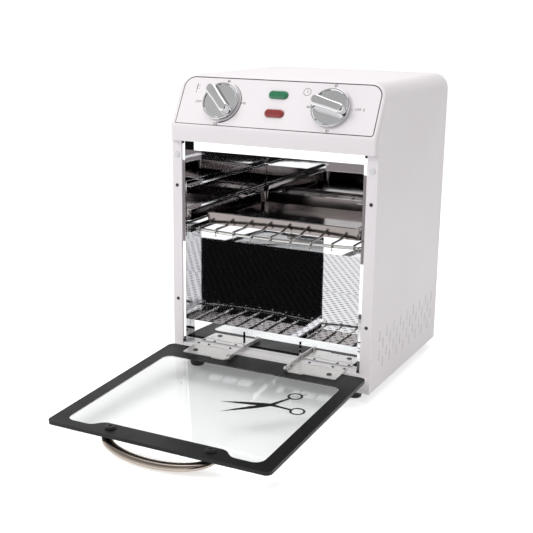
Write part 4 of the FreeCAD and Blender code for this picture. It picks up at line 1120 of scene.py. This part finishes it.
@dataclass
class Hinges:
    """The hinge leaves, bases, stays and their rivets, with their edges broken."""

    inner: float = 41.0
    width: float = 63.0

    def leaf(self, side: int) -> Piece:
        """A door leaf with three small unused holes."""
        name = "right" if side > 0 else "left"
        piece = Bench.from_cad("hinge_leaf_" + name, "hinge_leaf_plated_" + name)
        holes = [Bench.settle(Bench.round("hole", (0, 0, -0.7), 1.3, 3, 16), LEAF.matrix(side * x, -y))
                 for x, y in ((55.0, 8.5), (74.0, 23.0), (97.5, 9.0))]
        return Bench.soften(Bench.cut(piece, *holes), 0.18, 2, 30)

    def build(self) -> None:
        """Builds both sides' pieces."""
        for side in (-1, 1):
            name = "right" if side > 0 else "left"
            present(Bench.smooth(self.leaf(side), 35), "door", Slot.STEEL, HINGE_STEEL, "hinge_leaf_" + name)
            for node, body in (("hinge_base_", "cabinet"), ("stay_", "stay_" + name), ("stay_pin_", "door")):
                piece = Bench.soften(Bench.from_cad(node + name, node + "plated_" + name), 0.18, 2, 30)
                present(Bench.smooth(piece, 35), body, Slot.STEEL, HINGE_STEEL, node + name)


@dataclass
class SmallParts:
    """Feet, bumpers and screws."""

    foot_x: float = 110.0
    feet_y: tuple[float, float] = (17.0, 234.0)

    def feet(self) -> None:
        """Four tapered rubber buttons with a rounded edge and a hollow underneath."""
        first = Bench.round("foot", (0, 0, 0), 8.4, 12, 40, top=11)
        Bench.bevel(first, 1.3, 4, lambda m, e: m.z < 0.1)
        with Bench.editing(first):
            Bench.pick(first, "faces", lambda f: f.normal.z < -0.95 and len(f.verts) > 8)
            bpy.ops.mesh.inset(thickness=2.6 * MM)
            bpy.ops.mesh.extrude_region_move(TRANSFORM_OT_translate={"value": (0, 0, 2.5 * MM)})
        places = [(s * self.foot_x, y, 0) for s in (-1, 1) for y in self.feet_y]
        four = [Bench.copy(first, LAYOUT @ Matrix.Translation(in_metres(p))) for p in places]
        bpy.data.objects.remove(first)
        present(Bench.smooth(Bench.join("rubber_feet", *four), 40), "cabinet", Slot.RUBBER, RUBBER, "feet")

    def bumpers(self) -> None:
        """Two clear domes with a small raised dot."""
        first = Bench.round("dome", (0, 0, 0), 4, 0.85, 32)
        Bench.bevel(first, 0.7, 5, lambda m, e: m.z > 0.8)
        with Bench.editing(first):
            Bench.pick(first, "faces", lambda f: f.normal.z > 0.95 and len(f.verts) > 8)
            bpy.ops.mesh.inset(thickness=2.2 * MM)
            bpy.ops.transform.translate(value=(0, 0, 0.22 * MM))
        pair = [Bench.copy(first, STILES.matrix(s * 128.45, 266.8)) for s in (-1, 1)]
        bpy.data.objects.remove(first)
        piece = Bench.smooth(Bench.join("clear_bumpers", *pair), 60)
        present(piece, "cabinet", Slot.BUMPER, SILICONE, "door_bumpers")

    def screws(self) -> None:
        """The stile, rear panel and hinge base screws."""
        stiles = [STILES.matrix(s * 128.45, z, 20 * s) for s in (-1, 1) for z in (228.5, 82.0)]
        Fastener(2.1, 0.9).scatter("stile_screws", "cabinet", Slot.CAP, DARK_SCREW, stiles)
        rear = [BACK.matrix(x, z, x) for x in (-126, 126) for z in (18, 120, 230, 330)]
        rear += [BACK.matrix(x, 352, 30) for x in (-80, 0, 80)]
        Fastener(2.6, 1.2).scatter("rear_screws", "cabinet", Slot.STEEL, HINGE_STEEL, rear)
        base = [LEDGE.matrix(s * x, 4.6, 30 + x) for s in (-1, 1) for x in (55, 86, 101)]
        Fastener(1.7, 0.7).scatter("hinge_base_screws", "cabinet", Slot.STEEL, DARK_SCREW, base)
        leaf = [LEAF.matrix(s * 91.5, -17.5, 40) for s in (-1, 1)]
        Fastener(3.2, 1.0).scatter("leaf_screw_heads", "door", Slot.STEEL, DARK_SCREW, leaf)

    def build(self) -> None:
        """Builds them all."""
        self.feet()
        self.bumpers()
        self.screws()


@dataclass
class Sheetwork:
    """Sheet pieces that keep the CAD's form, with their edges broken, and the plain hidden nodes."""

    softened: tuple[tuple[str, str, Slot, Finish, float], ...] = (
        ("base_pan", "cabinet", Slot.RAIL, RAIL_COAT, 0.35),
        ("instrument_tray", "cabinet", Slot.TRAY, PAN_STEEL_PAINTED_REFLECTION, 0.25),
        ("shelf_runner_left", "cabinet", Slot.MIRROR, MIRROR_SHEET, 0.2),
        ("shelf_runner_right", "cabinet", Slot.MIRROR, MIRROR_SHEET, 0.2),
    )
    plain: dict[str, Finish] = field(default_factory=lambda: {
        "rear_panel": ZINC_SHEET, "cord_gland": CAP_NYLON, "chamber_liner": MIRROR_SHEET,
        "heating_elements": SHEATH, "element_bushings": STEATITE, "heat_shield": SHIELD_SHEET,
        "insulation_wrap": WOOL, "insulation_back": WOOL, "sensing_bulb": COPPER,
        "terminal_block": STEATITE, "hinge_pin_right": HINGE_STEEL, "hinge_pin_left": HINGE_STEEL,
        "door_glass": GLASS, "leaf_pad_right": FIBRE, "leaf_pad_left": FIBRE, "leaf_screws": DARK_SCREW,
        "leaf_nuts": HINGE_STEEL, "thermostat_body": CONTROL_CASE, "timer_body": CONTROL_CASE,
        "thermostat_shaft": HINGE_STEEL, "timer_shaft": HINGE_STEEL, "run_lamp_body": HOLDER,
        "power_lamp_body": HOLDER})

    def build(self) -> None:
        """Breaks the edges of the sheet pieces and gives the other nodes their materials."""
        for node, body, slot, finish, width in self.softened:
            piece = Bench.soften(Bench.from_cad(node, node + "_pressed"), width, 2, 30)
            present(Bench.smooth(piece, 32), body, slot, finish, node)
        for node, finish in self.plain.items():
            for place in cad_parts[node].material_slots:
                place.material = finish.material()
            LOG.info("%s: %s", node, finish.name)


@dataclass
class Studio:
    """The pale floor, the lamps, the screens that metal sees and the camera."""

    lens: float = 67.99
    eye: Point = (525.0, -1056.2, 455.6)
    yaw: float = 26.559
    pitch: float = -14.429
    roll: float = 0.791
    floor_glow: float = 0.58
    glass_loss: float = 0.34

    def camera(self) -> None:
        """Sets the camera at the photograph's place."""
        data = bpy.data.cameras.new("camera")
        data.lens = self.lens
        data.sensor_width = 36
        data.sensor_fit = "HORIZONTAL"
        data.clip_end = 60
        made = bpy.data.objects.new("camera", data)
        bpy.context.scene.collection.objects.link(made)
        turn = (Matrix.Rotation(math.radians(self.yaw), 4, "Z")
                @ Matrix.Rotation(math.radians(90 + self.pitch), 4, "X")
                @ Matrix.Rotation(math.radians(self.roll), 4, "Z"))
        made.matrix_world = Matrix.Translation(LAYOUT @ in_metres(self.eye)) @ turn
        bpy.context.scene.camera = made

    def seen(self, tree: bpy.types.NodeTree) -> bpy.types.NodeSocket:
        """Returns 1 for rays from the camera, from gloss and through glass, and 0 for soft light."""
        path = add_node(tree, "LightPath").outputs
        total = path["Is Camera Ray"]
        for kind in ("Is Glossy Ray", "Is Transmission Ray"):
            both = add_node(tree, "Math", {0: total, 1: path[kind]}, operation="ADD", use_clamp=True)
            total = both.outputs[0]
        return total

    def floor(self) -> None:
        """A wide pale floor that keeps the cabinet's shadow and glows a little less through glass."""
        bpy.ops.object.select_all(action="DESELECT")
        bpy.ops.mesh.primitive_plane_add(size=40, location=(0, 0, 0))
        piece = Bench.named("studio_floor")
        made = bpy.data.materials.new("studio_floor")
        made.use_nodes = True
        tree = made.node_tree
        tree.nodes.clear()
        pale = add_node(tree, "BsdfDiffuse", {"Color": linear("#F2F2F2")})
        path = add_node(tree, "LightPath").outputs
        less = add_node(tree, "Math", {0: path["Is Transmission Ray"], 1: -self.glass_loss},
                        operation="MULTIPLY")
        lift = add_node(tree, "Math", {0: self.seen(tree), 1: self.floor_glow, 2: less.outputs[0]},
                        operation="MULTIPLY_ADD")
        glow = add_node(tree, "Emission", {"Strength": lift.outputs[0]})
        both = add_node(tree, "AddShader", {0: pale.outputs[0], 1: glow.outputs[0]})
        add_node(tree, "OutputMaterial", {"Surface": both.outputs[0]})
        piece.data.materials.append(made)

    def world(self) -> None:
        """Even light, white where it is seen and darker overhead, which gives the dials their contrast."""
        made = bpy.data.worlds.new("studio")
        made.use_nodes = True
        tree = made.node_tree
        way = add_node(tree, "SeparateXYZ", {0: add_node(tree, "TexCoord").outputs["Generated"]})
        shade = add_node(tree, "MapRange", {"Value": way.outputs["Z"], "From Min": 0.3, "From Max": 0.85,
                                            "To Min": 1.05, "To Max": 0.3})
        level = add_node(tree, "MapRange", {"Value": self.seen(tree), "To Min": 0.5,
                                            "To Max": shade.outputs[0]})
        tree.links.new(level.outputs[0], tree.nodes["Background"].inputs["Strength"])
        tree.nodes["Background"].inputs["Color"].default_value = (1, 1, 1, 1)
        bpy.context.scene.world = made

    def screen(self, name: str, centre: Point, size: tuple[float, float], heading: float, tilt: float,
               colour: str = "#141314") -> None:
        """A screen that only metal sees, as the unlit side of a studio.

        Args:
            name: The screen's name.
            centre: Its middle in millimetres.
            size: Its width and height.
            heading: Degrees that it is turned round by, seen from above.
            tilt: 90 where it stands and 0 where it lies.
            colour: What metal sees there.
        """
        bpy.ops.object.select_all(action="DESELECT")
        bpy.ops.mesh.primitive_plane_add(size=1, location=in_metres(centre),
                                         rotation=(math.radians(tilt), 0, math.radians(heading)))
        piece = Bench.named(name, (size[0] * MM, size[1] * MM, 1))
        made = bpy.data.materials.new(name)
        made.use_nodes = True
        made.node_tree.nodes.clear()
        glow = add_node(made.node_tree, "Emission", {"Color": linear(colour)})
        add_node(made.node_tree, "OutputMaterial", {"Surface": glow.outputs[0]})
        piece.data.materials.append(made)
        piece.visible_camera = piece.visible_diffuse = piece.visible_shadow = False
        piece.visible_transmission = False

    def lamp(self, name: str, place: Point, size: float, power: float, mirrored: bool) -> None:
        """A soft square lamp aimed at the cabinet, which metal mirrors or doesn't."""
        data = bpy.data.lights.new(name, "AREA")
        data.size = size
        data.energy = power
        made = bpy.data.objects.new(name, data)
        bpy.context.scene.collection.objects.link(made)
        made.visible_glossy = mirrored
        made.location = place
        made.rotation_euler = (Vector((0, 0, 0.15)) - Vector(place)).to_track_quat("-Z", "Y").to_euler()

    def build(self) -> None:
        """Sets up the whole studio."""
        self.camera()
        self.floor()
        self.world()
        self.screen("dark_side", (760, -1250, 620), (1500, 1240), 31, 90)
        self.screen("dark_table", (530, -860, 2), (1300, 640), 31, 0)
        self.screen("grey_table", (-700, -1220, 2), (1500, 950), 0, 0, "#8E8688")
        self.lamp("key", (-1.3, -1.7, 1.7), 1.4, 26, mirrored=False)
        self.lamp("overhead", (-0.1, 0.1, 1.9), 1.6, 13, mirrored=True)
        bpy.context.scene.view_settings.view_transform = "Standard"


def main() -> None:
    """Builds the cabinet's pieces and the studio."""
    logging.basicConfig(level=logging.INFO, format="%(name)s %(message)s")
    Studio().build()
    for assembly in (
        Sheetwork(), Hood(), FasciaPrint(),
        Knob("temperature_knob", -71.4, 135), Knob("timer_knob", 71.4, 165),
        PilotLens("run_lamp_lens", 45.9, Slot.GREEN, GREEN_ACRYLIC),
        PilotLens("power_lamp_lens", 22.5, Slot.RED, RED_ACRYLIC),
        Chamber(), Rack(), Door(), Hinges(), SmallParts(),
    ):
        LOG.info("building %s", type(assembly).__name__)
        assembly.build()
    bpy.ops.object.select_all(action="DESELECT")


if __name__ == "__main__":
    main()
